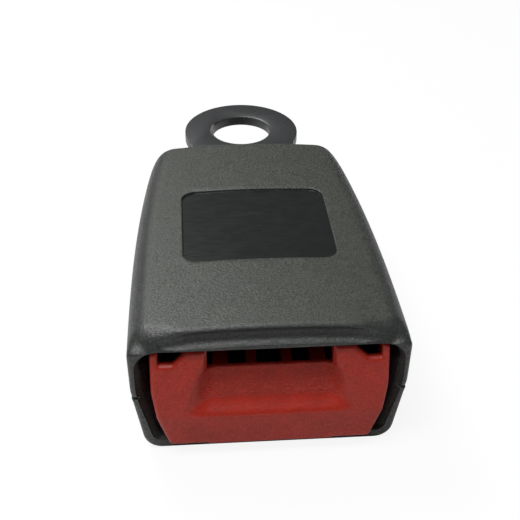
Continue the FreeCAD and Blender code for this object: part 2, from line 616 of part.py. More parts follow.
def buckle_frame():
    """The pressed steel channel that carries the load, open downwards."""
    inner_bend = FRAME_BEND_RADIUS - FRAME_THICKNESS
    channel = [
        (-FRAME_HALF_WIDTH, FRAME_FOOT, 0.0),
        (-CHANNEL_HALF_WIDTH, FRAME_FOOT, 0.0),
        (-CHANNEL_HALF_WIDTH, BASE_UNDERSIDE, inner_bend),
        (CHANNEL_HALF_WIDTH, BASE_UNDERSIDE, inner_bend),
        (CHANNEL_HALF_WIDTH, FRAME_FOOT, 0.0),
        (FRAME_HALF_WIDTH, FRAME_FOOT, 0.0),
        (FRAME_HALF_WIDTH, BASE_TOP, FRAME_BEND_RADIUS),
        (-FRAME_HALF_WIDTH, BASE_TOP, FRAME_BEND_RADIUS),
    ]
    frame = front_prism(channel, FRAME_START, FRAME_END)
    side_view = [
        (FRAME_START - 1.0, REACH, 0.0),
        (FRAME_START - 1.0, SHELF_TOP - 3.0, 0.0),
        (FRAME_START, SHELF_TOP - 3.0, 0.0),
        (FRAME_START + 5.0, FRAME_FOOT, 2.0),
        (FRAME_WALL_END, FRAME_FOOT, 3.0),
        (FRAME_WALL_END, BASE_UNDERSIDE, 0.0),
        (REACH + FRAME_END, BASE_UNDERSIDE, 0.0),
        (REACH + FRAME_END, REACH, 0.0),
    ]
    frame = frame.common(side_prism(side_view, -REACH, REACH))
    plan_view = [
        (-REACH, -REACH, 0.0),
        (REACH, -REACH, 0.0),
        (REACH, FRAME_WALL_END, 0.0),
        (FRAME_HALF_WIDTH, FRAME_WALL_END, 0.0),
        (FRAME_HALF_WIDTH, FRAME_END, 2.5),
        (-FRAME_HALF_WIDTH, FRAME_END, 2.5),
        (-FRAME_HALF_WIDTH, FRAME_WALL_END, 0.0),
        (-REACH, FRAME_WALL_END, 0.0),
    ]
    frame = frame.common(plate(plan_view, -REACH, REACH))

    slot_corners = [
        (-EJECTOR_SLOT_HALF_WIDTH, EJECTOR_SLOT_START, 1.0),
        (EJECTOR_SLOT_HALF_WIDTH, EJECTOR_SLOT_START, 1.0),
        (EJECTOR_SLOT_HALF_WIDTH, EJECTOR_SLOT_END, 0.5),
        (-EJECTOR_SLOT_HALF_WIDTH, EJECTOR_SLOT_END, 0.5),
    ]
    frame = frame.cut(plate(slot_corners, BASE_UNDERSIDE - 1.0, BASE_TOP + 1.0))
    spring_tab = box(-0.9, 0.9, EJECTOR_SLOT_END - PEG_LENGTH, EJECTOR_SLOT_END + 0.2, BASE_UNDERSIDE, BASE_UNDERSIDE + 1.2)
    frame = frame.fuse(spring_tab)

    slot_radius = RELEASE_PIN_RADIUS + PIN_SLOT_CLEARANCE
    first = RELEASE_PIN_Y - slot_radius
    last = RELEASE_PIN_Y + BUTTON_TRAVEL + slot_radius
    pin_slot = [
        (first, RELEASE_PIN_Z - slot_radius, slot_radius - 0.01),
        (last, RELEASE_PIN_Z - slot_radius, slot_radius - 0.01),
        (last, RELEASE_PIN_Z + slot_radius, slot_radius - 0.01),
        (first, RELEASE_PIN_Z + slot_radius, slot_radius - 0.01),
    ]
    frame = frame.cut(side_prism(pin_slot, -REACH, REACH))
    frame = frame.cut(rod(PIVOT_RADIUS, 2 * REACH, Vector(-REACH, PIVOT_Y, PIVOT_Z), Vector(1, 0, 0)))
    for x in (-RIVET_SPACING / 2.0, RIVET_SPACING / 2.0):
        frame = frame.cut(rivet_body(x))
    return frame.removeSplitter()


def rivet_body(x):
    """A rivet's flat head, sunk flush in the frame's base, and its shank through the strap."""
    head_start = Vector(x, RIVET_Y, BASE_TOP - RIVET_HEAD_SUNK)
    head = rod(RIVET_HEAD_RADIUS, RIVET_HEAD_SUNK, head_start, Vector(0, 0, 1))
    length = BASE_TOP - RIVET_HEAD_SUNK - STRAP_UNDERSIDE
    shank = rod(RIVET_SHANK_RADIUS, length, Vector(x, RIVET_Y, STRAP_UNDERSIDE), Vector(0, 0, 1))
    return head.fuse(shank).removeSplitter()


def anchor_rivet(x):
    """A rivet, flush in the frame's base and set into a second head under the strap."""
    top = Vector(x, RIVET_Y, STRAP_UNDERSIDE)
    set_head = rod(RIVET_HEAD_RADIUS, RIVET_SET_HEIGHT, top, Vector(0, 0, -1))
    return rivet_body(x).fuse(set_head).removeSplitter()


def anchor_strap():
    """The steel strap: a tongue under the frame's base, a neck through the tail and an eye."""
    front = EJECTOR_SLOT_END + 0.1
    step = FRAME_WALL_END + 1.0
    neck_y = LIP_TO_HOLE - EYE_RADIUS
    corners = [
        (-STRAP_TONGUE_HALF_WIDTH, front, 2.0),
        (STRAP_TONGUE_HALF_WIDTH, front, 2.0),
        (STRAP_TONGUE_HALF_WIDTH, step, 1.0),
        (STRAP_HALF_WIDTH, step, 1.5),
        (STRAP_HALF_WIDTH, LIP_TO_HOLE, 0.0),
        (-STRAP_HALF_WIDTH, LIP_TO_HOLE, 0.0),
        (-STRAP_HALF_WIDTH, step, 1.5),
        (-STRAP_TONGUE_HALF_WIDTH, step, 1.0),
    ]
    strap = plate(corners, STRAP_UNDERSIDE, STRAP_TOP)
    eye = rod(EYE_RADIUS, STRAP_THICKNESS, Vector(0, LIP_TO_HOLE, STRAP_UNDERSIDE), Vector(0, 0, 1))
    strap = strap.fuse(eye).removeSplitter()
    necks = edges_near(strap, lambda x, y, z: abs(abs(x) - STRAP_HALF_WIDTH) < 0.01 and neck_y < y < LIP_TO_HOLE - 1.0)
    corners_in = [edge for edge in necks if abs(edge.Vertexes[0].Z - edge.Vertexes[-1].Z) > 1.0]
    strap = strap.makeFillet(EYE_NECK_RADIUS, corners_in)
    strap = strap.cut(rod(ANCHOR_HOLE_RADIUS, 2 * REACH, Vector(0, LIP_TO_HOLE, -REACH), Vector(0, 0, 1)))
    for x in (-RIVET_SPACING / 2.0, RIVET_SPACING / 2.0):
        strap = strap.cut(rod(RIVET_SHANK_RADIUS, 2 * REACH, Vector(x, RIVET_Y, -REACH), Vector(0, 0, 1)))
    return strap


# Latch

def latch_plate():
    """The sprung pawl: barrel on the pivot pin, ramp for the release pin and nose for the tongue."""
    angle = math.radians(LATCH_ANGLE)
    to_pin_y = RELEASE_PIN_Y + BUTTON_TRAVEL - PIVOT_Y
    to_pin_z = RELEASE_PIN_Z - PIVOT_Z
    pressed_y = PIVOT_Y + to_pin_y * math.cos(angle) + to_pin_z * math.sin(angle)
    pressed_z = PIVOT_Z - to_pin_y * math.sin(angle) + to_pin_z * math.cos(angle)
    rear_top = pressed_z - RELEASE_PIN_RADIUS - RELEASE_GAP
    slope = math.atan2(rear_top - LATCH_PLATE_TOP, pressed_y - RELEASE_PIN_Y)
    offset = (RELEASE_PIN_RADIUS + RELEASE_GAP) * math.tan(slope / 2.0)
    ramp_start = RELEASE_PIN_Y + offset
    ramp_end = pressed_y + offset
    bottom = LATCH_PLATE_TOP - LATCH_THICKNESS
    nose_back = LATCH_FRONT + NOSE_LENGTH
    profile = [
        (LATCH_FRONT, bottom, 0.8),
        (ramp_start + 0.4, bottom, 1.0),
        (ramp_end + 0.4, rear_top - LATCH_THICKNESS, 1.0),
        (PIVOT_Y, rear_top - LATCH_THICKNESS, 0.0),
        (PIVOT_Y, rear_top, 0.0),
        (ramp_end, rear_top, 0.6),
        (ramp_start, LATCH_PLATE_TOP, 0.6),
        (LATCH_FRONT, LATCH_PLATE_TOP, 0.0),
    ]
    body = side_prism(profile, -REACH, REACH)
    wide = CHANNEL_HALF_WIDTH - LATCH_SIDE_CLEARANCE
    plan = [
        (-LATCH_HALF_WIDTH, LATCH_FRONT, 1.0),
        (LATCH_HALF_WIDTH, LATCH_FRONT, 1.0),
        (LATCH_HALF_WIDTH, LATCH_SHOULDER_Y, 1.0),
        (wide, LATCH_SHOULDER_Y, 1.0),
        (wide, PIVOT_Y + 0.5, 0.0),
        (-wide, PIVOT_Y + 0.5, 0.0),
        (-wide, LATCH_SHOULDER_Y, 1.0),
        (-LATCH_HALF_WIDTH, LATCH_SHOULDER_Y, 1.0),
    ]
    body = body.common(plate(plan, 0.0, MOUTH_HEIGHT))
    nose_profile = [
        (LATCH_FRONT, bottom + 0.8, 0.0),
        (nose_back, bottom + 0.8, 0.0),
        (nose_back, NOSE_TOP, 0.3),
        (nose_back - NOSE_FLAT, NOSE_TOP, 0.5),
        (LATCH_FRONT, NOSE_RAMP_START, 0.5),
    ]
    nose = side_prism(nose_profile, -NOSE_HALF_WIDTH, NOSE_HALF_WIDTH)
    barrel = rod(BARREL_RADIUS, 2 * wide, Vector(-wide, PIVOT_Y, PIVOT_Z), Vector(1, 0, 0))
    latch = body.fuse([nose, barrel])
    bore = rod(PIVOT_RADIUS + PIVOT_CLEARANCE, 2 * REACH, Vector(-REACH, PIVOT_Y, PIVOT_Z), Vector(1, 0, 0))
    return latch.cut(bore).removeSplitter()


def latch_pivot_pin():
    """The pin that the latch turns on: a head on one side and a groove for its clip on the other."""
    head = rod(PIVOT_RADIUS + 0.9, 1.0, Vector(-FRAME_HALF_WIDTH - 1.0, PIVOT_Y, PIVOT_Z), Vector(1, 0, 0))
    shank_length = 2 * FRAME_HALF_WIDTH + 2.0
    shank = rod(PIVOT_RADIUS, shank_length, Vector(-FRAME_HALF_WIDTH, PIVOT_Y, PIVOT_Z), Vector(1, 0, 0))
    pin = head.fuse(shank).removeSplitter()
    groove_start = Vector(FRAME_HALF_WIDTH + 0.1, PIVOT_Y, PIVOT_Z)
    ring = rod(PIVOT_RADIUS + 1.0, 0.8, groove_start, Vector(1, 0, 0))
    ring = ring.cut(rod(PIVOT_RADIUS - 0.4, 0.8, groove_start, Vector(1, 0, 0)))
    return pin.cut(ring)


def pivot_retaining_clip():
    """The spring steel clip in the pin's groove, open on one side."""
    start = Vector(FRAME_HALF_WIDTH + 0.15, PIVOT_Y, PIVOT_Z)
    clip = rod(PIVOT_RADIUS + 1.4, 0.7, start, Vector(1, 0, 0))
    clip = clip.cut(rod(PIVOT_RADIUS - 0.4, 0.7, start, Vector(1, 0, 0)))
    gap = box(0.0, REACH, PIVOT_Y - 1.0, PIVOT_Y + 1.0, 0.0, PIVOT_Z)
    return clip.cut(gap)


# Button

def button_outline(inset):
    """Corners of the button seen from the front, drawn in by a wall's thickness."""
    top = BUTTON_TOP - inset
    half = BUTTON_HALF_WIDTH - inset
    right = [
        (BUTTON_BOTTOM_HALF_WIDTH - inset, BUTTON_BOTTOM + inset, BUTTON_BOTTOM_CORNER_RADIUS),
        (BUTTON_WAIST_HALF_WIDTH - inset, BUTTON_WAIST_HEIGHT, BUTTON_WAIST_RADIUS),
        (half, BUTTON_CHEST_HEIGHT, BUTTON_CHEST_RADIUS),
        (half, top, BUTTON_TOP_CORNER_RADIUS),
    ]
    left = [(-x, z, radius) for x, z, radius in reversed(right)]
    return right + left


def button_face(setback):
    """Points up the button's face in y and z: a plain lower band, then a lean back to the top."""
    return [
        (-BUTTON_BULGE + setback, BUTTON_BOTTOM - 3.0, 0.0),
        (-BUTTON_BULGE + setback, BUTTON_BULGE_TOP, 20.0),
        (BUTTON_TOP_SETBACK + setback, BUTTON_TOP, 0.0),
        (BUTTON_TOP_SETBACK + setback + 1.0, BUTTON_TOP + 4.5, 0.0),
    ]


def behind_face(setback, end):
    """Everything behind the button's face, up to a given depth."""
    corners = button_face(setback) + [(end, BUTTON_TOP + 4.5, 0.0), (end, BUTTON_BOTTOM - 3.0, 0.0)]
    return side_prism(corners, -REACH, REACH)


def dish_cutter():
    """The scoop under the tongue's way in: a hollow arc with slanting sides."""
    rise = SHELF_TOP - DISH_BOTTOM
    depth = BUTTON_BULGE + DISH_TOP_DEPTH - 0.1
    radius = (rise ** 2 + depth ** 2) / (2.0 * depth)
    axis_y = DISH_TOP_DEPTH - radius
    scoop = rod(radius, 2 * REACH, Vector(-REACH, axis_y, SHELF_TOP), Vector(1, 0, 0))
    above = box(-REACH, REACH, axis_y, DISH_TOP_DEPTH, SHELF_TOP, BUTTON_TOP + 2.0)
    scoop = scoop.fuse(above).removeSplitter()
    slant = DISH_SIDE_SLANT / (BUTTON_TOP - DISH_BOTTOM)
    low = DISH_BOTTOM - 4.0
    high = BUTTON_TOP + 1.0
    low_half = TONGUE_MOUTH_HALF_WIDTH + slant * (BUTTON_TOP - low)
    high_half = TONGUE_MOUTH_HALF_WIDTH + slant * (BUTTON_TOP - high)
    sides = [(-low_half, low, 0.0), (low_half, low, 0.0), (high_half, high, 0.0), (-high_half, high, 0.0)]
    scoop = scoop.common(front_prism(sides, -REACH, REACH))
    return scoop


def press_button():
    """The release button: face with dish, tongue shelf with pockets, skirt, arms and spring seats."""
    slab = behind_face(0.0, REACH).cut(behind_face(BUTTON_FACE_WALL, REACH))
    face = slab.common(front_prism(button_outline(0.0), -REACH, REACH))
    skirt = front_prism(button_outline(0.0), -REACH, BUTTON_SKIRT_END)
    skirt = skirt.cut(front_prism(button_outline(BUTTON_SKIRT_WALL), -REACH, REACH))
    skirt = skirt.common(behind_face(0.0, REACH))
    roof = box(-REACH, REACH, DISH_BACK, REACH, SEAM_HEIGHT + 3.0, REACH)
    skirt = skirt.cut(roof)
    half_shelf = DISH_BOTTOM_HALF_WIDTH + 1.5
    backing = box(-half_shelf, half_shelf, -REACH, DISH_BACK, DISH_BOTTOM - 2.0, SHELF_TOP)
    shelf = box(-SHELF_HALF_WIDTH, SHELF_HALF_WIDTH, -REACH, SHELF_END, POCKET_FLOOR - 1.6, SHELF_TOP)
    core = backing.fuse(shelf).common(behind_face(0.0, REACH))
    shoulder = box(TONGUE_MOUTH_HALF_WIDTH, SHOULDER_HALF_WIDTH, -REACH, DISH_BACK, SHELF_TOP - 1.0, BUTTON_TOP)
    shoulders = [side.common(behind_face(0.0, REACH)) for side in both_sides(shoulder)]
    button = face.fuse([skirt, core] + shoulders)

    button = button.cut(dish_cutter())
    mouth = box(-TONGUE_MOUTH_HALF_WIDTH, TONGUE_MOUTH_HALF_WIDTH, -REACH, REACH, SHELF_TOP, REACH)
    button = button.cut(mouth)
    notch = [
        (NOTCH_OUTER, BUTTON_TOP + 1.0, 0.0),
        (NOTCH_OUTER, NOTCH_FLOOR, 0.3),
        (NOTCH_INNER, NOTCH_FLOOR, 0.8),
        (SHOULDER_HALF_WIDTH, BUTTON_TOP - 0.1, 0.8),
        (SHOULDER_HALF_WIDTH - 1.0, BUTTON_TOP + 1.0, 0.0),
    ]
    for cutter in both_sides(front_prism(notch, -REACH, REACH)):
        button = button.cut(cutter)
    pocket_front = DISH_TOP_DEPTH + POCKET_SETBACK
    pockets = [box(-POCKET_HALF_WIDTH, POCKET_HALF_WIDTH, pocket_front, REACH, POCKET_FLOOR, REACH)]
    outer_pocket_end = OUTER_POCKET_START + OUTER_POCKET_WIDTH
    pockets.extend(both_sides(box(OUTER_POCKET_START, outer_pocket_end, pocket_front, REACH, POCKET_FLOOR, REACH)))
    end_gap = box(SHELF_HALF_WIDTH, TONGUE_MOUTH_HALF_WIDTH, pocket_front, REACH, POCKET_FLOOR, REACH)
    pockets.extend(both_sides(end_gap))
    button = button.cut(pockets[0].fuse(pockets[1:]))

    arm_end = RELEASE_PIN_Y + ARM_END_MARGIN
    arm_corners = [
        (0.5, ARM_BOTTOM, 0.0),
        (arm_end, ARM_BOTTOM + 1.5, 1.5),
        (arm_end, ARM_TOP, 1.5),
        (DISH_BACK + 4.0, ARM_TOP, 1.0),
        (DISH_BACK, ARM_TOP - 2.0, 0.0),
        (0.5, ARM_TOP - 2.0, 0.0),
    ]
    arms = both_sides(side_prism(arm_corners, ARM_INNER, ARM_OUTER))
    web_outer = BUTTON_WAIST_HALF_WIDTH - 0.9
    web_side = [
        (ARM_INNER, ARM_TOP - 4.0, 0.0),
        (ARM_INNER, BUTTON_BOTTOM + 1.0, 0.0),
        (web_outer - 1.4, BUTTON_BOTTOM + 1.0, 0.0),
        (web_outer, BUTTON_SPRING_HEIGHT, 0.0),
        (web_outer, ARM_TOP - 4.0, 0.0),
    ]
    webs = both_sides(front_prism(web_side, BUTTON_SKIRT_END - 1.5, BUTTON_SKIRT_END))
    posts = both_sides(box(ARM_INNER, ARM_OUTER, 0.0, BUTTON_SKIRT_END, BUTTON_BOTTOM + 0.5, ARM_BOTTOM + 1.0))
    peg_radius = BUTTON_SPRING_RADIUS - BUTTON_SPRING_WIRE - PEG_CLEARANCE
    peg_start = Vector(BUTTON_SPRING_X, BUTTON_SKIRT_END - 0.5, BUTTON_SPRING_HEIGHT)
    pegs = both_sides(rod(peg_radius, PEG_LENGTH + 0.5, peg_start, Vector(0, 1, 0)))
    button = button.fuse(arms + webs + posts + pegs)
    pin_hole = rod(RELEASE_PIN_RADIUS, 2 * REACH, Vector(-REACH, RELEASE_PIN_Y, RELEASE_PIN_Z), Vector(1, 0, 0))
    return button.cut(pin_hole).removeSplitter()


def release_pin():
    """The steel cross pin that the arms carry through the frame's slots, over the latch's ramp."""
    half = ARM_OUTER + 0.4
    return rod(RELEASE_PIN_RADIUS, 2 * half, Vector(-half, RELEASE_PIN_Y, RELEASE_PIN_Z), Vector(1, 0, 0))


# Ejector

def ejector():
    """The moulded slider: two legs that meet the tongue, a bridge, and a neck in the frame's slot."""
    low = CHANNEL_FLOOR
    high = BASE_UNDERSIDE - EJECTOR_GAP
    corners = [
        (-EJECTOR_HALF_WIDTH, EJECTOR_FRONT, 0.8),
        (-EJECTOR_LEG_INNER, EJECTOR_FRONT, 0.8),
        (-EJECTOR_LEG_INNER, EJECTOR_LEG_END, 1.5),
        (EJECTOR_LEG_INNER, EJECTOR_LEG_END, 1.5),
        (EJECTOR_LEG_INNER, EJECTOR_FRONT, 0.8),
        (EJECTOR_HALF_WIDTH, EJECTOR_FRONT, 0.8),
        (EJECTOR_HALF_WIDTH, EJECTOR_END, 0.8),
        (-EJECTOR_HALF_WIDTH, EJECTOR_END, 0.8),
    ]
    slider = plate(corners, low, high)
    neck_half = EJECTOR_SLOT_HALF_WIDTH - EJECTOR_NECK_CLEARANCE
    flange_low = BASE_TOP + EJECTOR_FLANGE_GAP
    flange_high = flange_low + EJECTOR_FLANGE_THICKNESS
    neck = box(-neck_half, neck_half, EJECTOR_LEG_END, EJECTOR_END, low, flange_high)
    flange_half = EJECTOR_FLANGE_HALF_WIDTH
    flange_end = EJECTOR_LEG_END + EJECTOR_FLANGE_LENGTH
    flange = box(-flange_half, flange_half, EJECTOR_LEG_END, flange_end, flange_low, flange_high)
    peg_radius = EJECTOR_SPRING_RADIUS - EJECTOR_SPRING_WIRE - PEG_CLEARANCE
    peg = rod(peg_radius, PEG_LENGTH, Vector(0, EJECTOR_END, EJECTOR_SPRING_HEIGHT), Vector(0, 1, 0))
    return slider.fuse([neck, flange, peg]).removeSplitter()


# Springs

def coil_rise(turn, turns, length, wire):
    """Height of the wire after some turns: one closed turn at each end and open ones between."""
    closed = CLOSED_PITCH * wire
    if turn < 1.0:
        return closed * turn
    if turn > turns - 1.0:
        return length - closed * (turns - turn)
    return closed + (length - 2.0 * closed) * (turn - 1.0) / (turns - 2.0)


def coil(radius, wire, turns, start, end):
    """A compression spring between two points, wound about the line that joins them."""
    along = end - start
    length = along.Length - 2.0 * wire
    middles = []
    for index in range(turns * COIL_STEPS + 1):
        angle = 2.0 * math.pi * index / COIL_STEPS
        rise = wire + coil_rise(index / COIL_STEPS, turns, length, wire)
        middles.append(Vector(radius * math.cos(angle), radius * math.sin(angle), rise))
    forward = (middles[1] - middles[0]).normalize()
    outward = Vector(1, 0, 0)
    upward = forward.cross(outward).normalize()
    outward = upward.cross(forward).normalize()
    rim = []
    for index in range(WIRE_SIDES + 1):
        angle = 2.0 * math.pi * index / WIRE_SIDES
        rim.append(middles[0] + outward * (wire * math.cos(angle)) + upward * (wire * math.sin(angle)))
    path = Part.Wire(Part.makePolygon(middles).Edges)
    spring = path.makePipeShell([Part.makePolygon(rim)], True, False, 1)
    turn = FreeCAD.Rotation(Vector(0, 0, 1), along)
    spring.Placement = FreeCAD.Placement(start, turn)
    return spring


def ejector_spring():
    start = Vector(0, EJECTOR_END + SPRING_SEAT_GAP, EJECTOR_SPRING_HEIGHT)
    end = Vector(0, EJECTOR_SLOT_END - SPRING_SEAT_GAP, EJECTOR_SPRING_HEIGHT)
    return coil(EJECTOR_SPRING_RADIUS, EJECTOR_SPRING_WIRE, EJECTOR_SPRING_TURNS, start, end)


def button_spring(side):
    start = Vector(side * BUTTON_SPRING_X, BUTTON_SKIRT_END + SPRING_SEAT_GAP, BUTTON_SPRING_HEIGHT)
    end = Vector(side * BUTTON_SPRING_X, BUTTON_SPRING_SEAT - SPRING_SEAT_GAP, BUTTON_SPRING_HEIGHT)
    return coil(BUTTON_SPRING_RADIUS, BUTTON_SPRING_WIRE, BUTTON_SPRING_TURNS, start, end)


def latch_spring():
    start = Vector(0, LATCH_SPRING_Y, WALL + SPRING_SEAT_GAP)
    end = Vector(0, LATCH_SPRING_Y, LATCH_PLATE_TOP - LATCH_THICKNESS - SPRING_SEAT_GAP)
    return coil(LATCH_SPRING_RADIUS, LATCH_SPRING_WIRE, LATCH_SPRING_TURNS, start, end)


def all_pieces():
    """Every piece by name."""
    whole = whole_shell()
    pieces = {
        "upper_casing": upper_casing(whole),
        "lower_casing": lower_casing(whole),
        "buckle_frame": buckle_frame(),
        "anchor_strap": anchor_strap(),
        "anchor_rivet_left": anchor_rivet(-RIVET_SPACING / 2.0),
        "anchor_rivet_right": anchor_rivet(RIVET_SPACING / 2.0),
        "latch_plate": latch_plate(),
        "latch_pivot_pin": latch_pivot_pin(),
        "pivot_retaining_clip": pivot_retaining_clip(),
        "latch_spring": latch_spring(),
        "press_button": press_button(),
        "release_pin": release_pin(),
        "button_spring_left": button_spring(-1),
        "button_spring_right": button_spring(1),
        "ejector": ejector(),
        "ejector_spring": ejector_spring(),
    }
    for name, x, y in screw_places():
        pieces["casing_screw_" + name] = casing_screw(x, y)
    return pieces


os.makedirs("parts", exist_ok=True)
for piece_name, piece in all_pieces().items():
    piece.translate(Vector(0, -LIP_TO_HOLE, -STRAP_UNDERSIDE))
    piece.exportStep("parts/" + piece_name + ".step")
    print(piece_name, piece.isValid(), len(piece.Solids), round(piece.Volume, 1))
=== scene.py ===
"""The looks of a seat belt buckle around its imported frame.

Sizes are in millimetres, in the casing's own frame: y = 0 is the lip, z = 0 the underside.
to_scene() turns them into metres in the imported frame, whose origin is the anchor hole.
"""
import json
import math

import bmesh
import bpy
import numpy as np
from mathutils import Matrix, Vector


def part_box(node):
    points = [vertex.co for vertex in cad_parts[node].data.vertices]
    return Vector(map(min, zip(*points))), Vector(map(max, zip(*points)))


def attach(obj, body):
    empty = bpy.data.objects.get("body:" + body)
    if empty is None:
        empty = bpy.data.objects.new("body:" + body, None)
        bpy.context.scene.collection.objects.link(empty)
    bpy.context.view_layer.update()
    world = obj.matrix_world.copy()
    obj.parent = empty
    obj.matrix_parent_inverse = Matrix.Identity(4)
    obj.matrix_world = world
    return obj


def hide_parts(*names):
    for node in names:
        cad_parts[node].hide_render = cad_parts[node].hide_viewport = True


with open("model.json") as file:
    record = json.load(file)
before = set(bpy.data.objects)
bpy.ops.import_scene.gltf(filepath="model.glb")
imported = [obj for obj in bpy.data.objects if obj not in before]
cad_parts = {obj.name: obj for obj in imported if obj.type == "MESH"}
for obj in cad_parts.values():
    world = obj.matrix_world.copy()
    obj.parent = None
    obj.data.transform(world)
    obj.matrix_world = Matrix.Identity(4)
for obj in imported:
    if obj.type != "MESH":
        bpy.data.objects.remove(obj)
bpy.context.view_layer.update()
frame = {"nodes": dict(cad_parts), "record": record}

# Places that the frame fixes
LIP_TO_HOLE = 82.8
STRAP_UNDERSIDE = 17.6
MM = 0.001

# Cutters reach this far past the part
FAR = 30.0
FAR_FRONT = -5.0
FAR_BACK = 80.0
FAR_BELOW = -5.0
FAR_ABOVE = 40.0

# Casing
LENGTH = 69.3
MOUTH_HALF_WIDTH = 24.42
TAIL_TAPER = 3.95
TAPER_POWER = 2.6
TAIL_ROUNDING = 0.8
TAIL_ROUNDING_POWER = 30.0
MOUTH_HEIGHT = 26.5
TAIL_HEIGHT = 24.1
SIDE_LEAN = 2.45
SIDE_BEND_HEIGHT = 13.0
SIDE_SWELL = 0.25
SIDE_BEND_RADIUS = 18.0
BOTTOM_CORNER_RADIUS = 3.4
TOP_CORNER_RADIUS = 4.7
LEAST_CORNER_RADIUS = 0.8
CROWN_ANGLE = 4.6
CROWN_END = 1.15
FRONT_ROUNDING = 0.9
TAIL_ROUNDING_RADIUS = 1.5
TAIL_ROUNDING_STEPS = 8
WALL = 1.8
UPPER_JOIN = 1.4
LOWER_JOIN = 0.95
SECTION_STEPS = 24
UPPER_PARTS = 58
LOWER_PARTS = 46
MIDDLE_STATIONS = 34
HOLLOW_STATIONS = 16

# Seam between the halves
SEAM = 12.2
SEAM_HALF_WIDTH = 0.45
SEAM_DEPTH = 0.6
SEAM_BLEND = 3.0
GROOVE_START = -0.5
GROOVE_DEPTH = 1.0
GROOVE_HALF_WIDTH = 0.6
LOCATING_RISE = 1.32
LOCATING_START = 8.0
LOCATING_CLEARANCE = 0.12

# Rim round the mouth
RIM_DEPTH = 2.3
MOUTH_HALF = 22.62
MOUTH_LEAN = 2.65
MOUTH_CORNER_RADIUS = 3.6
RIM_FLARE = 0.62
RIM_FLARE_SHARE = 3.0
RIM_NARROWING = 1.65
RIM_SLOPE_DEPTH = 4.2
RIM_SLOPE_START = 0.4
RIM_SLOPE_INSIDE_WALL = 0.5
RIM_SLOPE_END_HEIGHT = 17.0
RIM_SLOPE_FADE = 3.0
RIM_MIDDLE_HALF_WIDTH = 19.0
RIM_FLOOR = 2.1

# Lip over the mouth: how far its surface is drawn in, by distance from the front
LIP_UNDERSIDE = 21.9
LIP_STEP_PLACE = 1.15
LIP_STEP_WIDTH = 0.15
LIP_STEP_HALF_WIDTH = 15.0
LIP_STEP_FADE = 6.5
LIP_CREST_REACH = 0.85
LIP_CREST_POWER = 2.2
LIP_STEP_TOP = 0.5
LIP_STEP_BOTTOM = 2.2
LIP_BAND_POWER = 1.6
LIP_EDGE_TOP = 3.15
LIP_EDGE_WIDTH = 0.16
LIP_EDGE_POWER = 1.3
LIP_DROP = 4.1
LIP_REACH = 4.4
LIP_REACH_POWER = 2.4
LIP_LIFT = 0.45
LIP_LIFT_DEPTH = 0.7
UPWARD_START = 0.15
UPWARD_SPAN = 0.7
COVE_HEIGHT = 24.75
COVE_RADIUS = 1.7
COVE_DEPTH = 0.55
COVE_HALF_LENGTH = 19.0
COVE_FULL_HALF_LENGTH = 12.0
COVE_END_DEPTH = 0.02

# Field in the top
RECESS_START = 21.7
RECESS_LENGTH = 26.1
RECESS_HALF_WIDTH = 14.35
RECESS_DEPTH = 0.45
RECESS_CORNER_RADIUS = 2.8
RECESS_FOOT = 0.1

# Screw wells and the tab under the strap
WELL_RADIUS = 2.3
WELL_DEPTH = 2.2
WELL_EDGE = 0.25
TAB_DEPTH = 2.0
TAB_CLEARANCE = 0.2

# Strap
STRAP_THICKNESS = 2.5
STRAP_HALF_WIDTH = 11.7
SLOT_CLEARANCE = 0.2
SLOT_EDGE = 0.3
EYE_RADIUS = 13.2
EYE_NECK_RADIUS = 5.0
ANCHOR_HOLE_RADIUS = 6.75
RIVET_RADIUS = 2.5
STRAP_EDGE = 0.3
HOLE_EDGE = 0.45
STRAP_SHOWN = 8.0
TONGUE_JOIN = 7.0
TONGUE_START = 49.1
TONGUE_SHOULDER = 51.9
TONGUE_FULL = 52.5
TONGUE_END_HALF_WIDTH = 8.0

# Button
BUTTON_HALF_WIDTH = 20.6
BUTTON_BULGE = 2.0
BUTTON_BULGE_TOP = 9.0
BUTTON_LEAN_POWER = 1.15
BUTTON_TOP_SETBACK = 0.8
BUTTON_TOP = 21.6
BUTTON_BOTTOM = 2.6
BUTTON_BOTTOM_HALF_WIDTH = 17.7
BUTTON_WAIST = (19.75, 8.6)
BUTTON_CHEST_HEIGHT = 14.0
BUTTON_END = 8.0
BUTTON_SHOWN = -4.0
SHELF_TOP = 17.2
SHELF_HALF_WIDTH = 10.9
EDGE_ROUNDING = 0.7
SHELF_EDGE_ROUNDING = 0.3
NOTCH_OUTER = 19.2
NOTCH_INNER = 16.8
NOTCH_FLOOR = 19.1
SHOULDER_HALF_WIDTH = 14.4
DISH_BOTTOM = 9.5
DISH_DEPTH = 2.0
DISH_BOTTOM_HALF_WIDTH = 14.2
DISH_BOTTOM_SPREAD = 1.6
DISH_TOP_SPREAD = 0.3
DISH_BOTTOM_FADE = 5.4
DISH_FADE_LOSS = 3.0
DISH_SOFTNESS = 0.55
DISH_EASE_BELOW = 3.2
DISH_EASE_SPAN = 2.6

# How finely the button's face is drawn: spans as (start, end, step), from its middle and from below
FACE_COLUMNS = (
    (0.0, 10.2, 0.5), (10.2, 11.8, 0.1), (11.8, 14.0, 0.25), (14.0, 20.0, 0.16), (20.0, 20.8, 0.08),
)
FACE_ROWS = (
    (2.4, 3.6, 0.1), (3.6, 16.4, 0.3), (16.4, 17.6, 0.08), (17.6, 18.6, 0.25), (18.6, 21.8, 0.13),
)

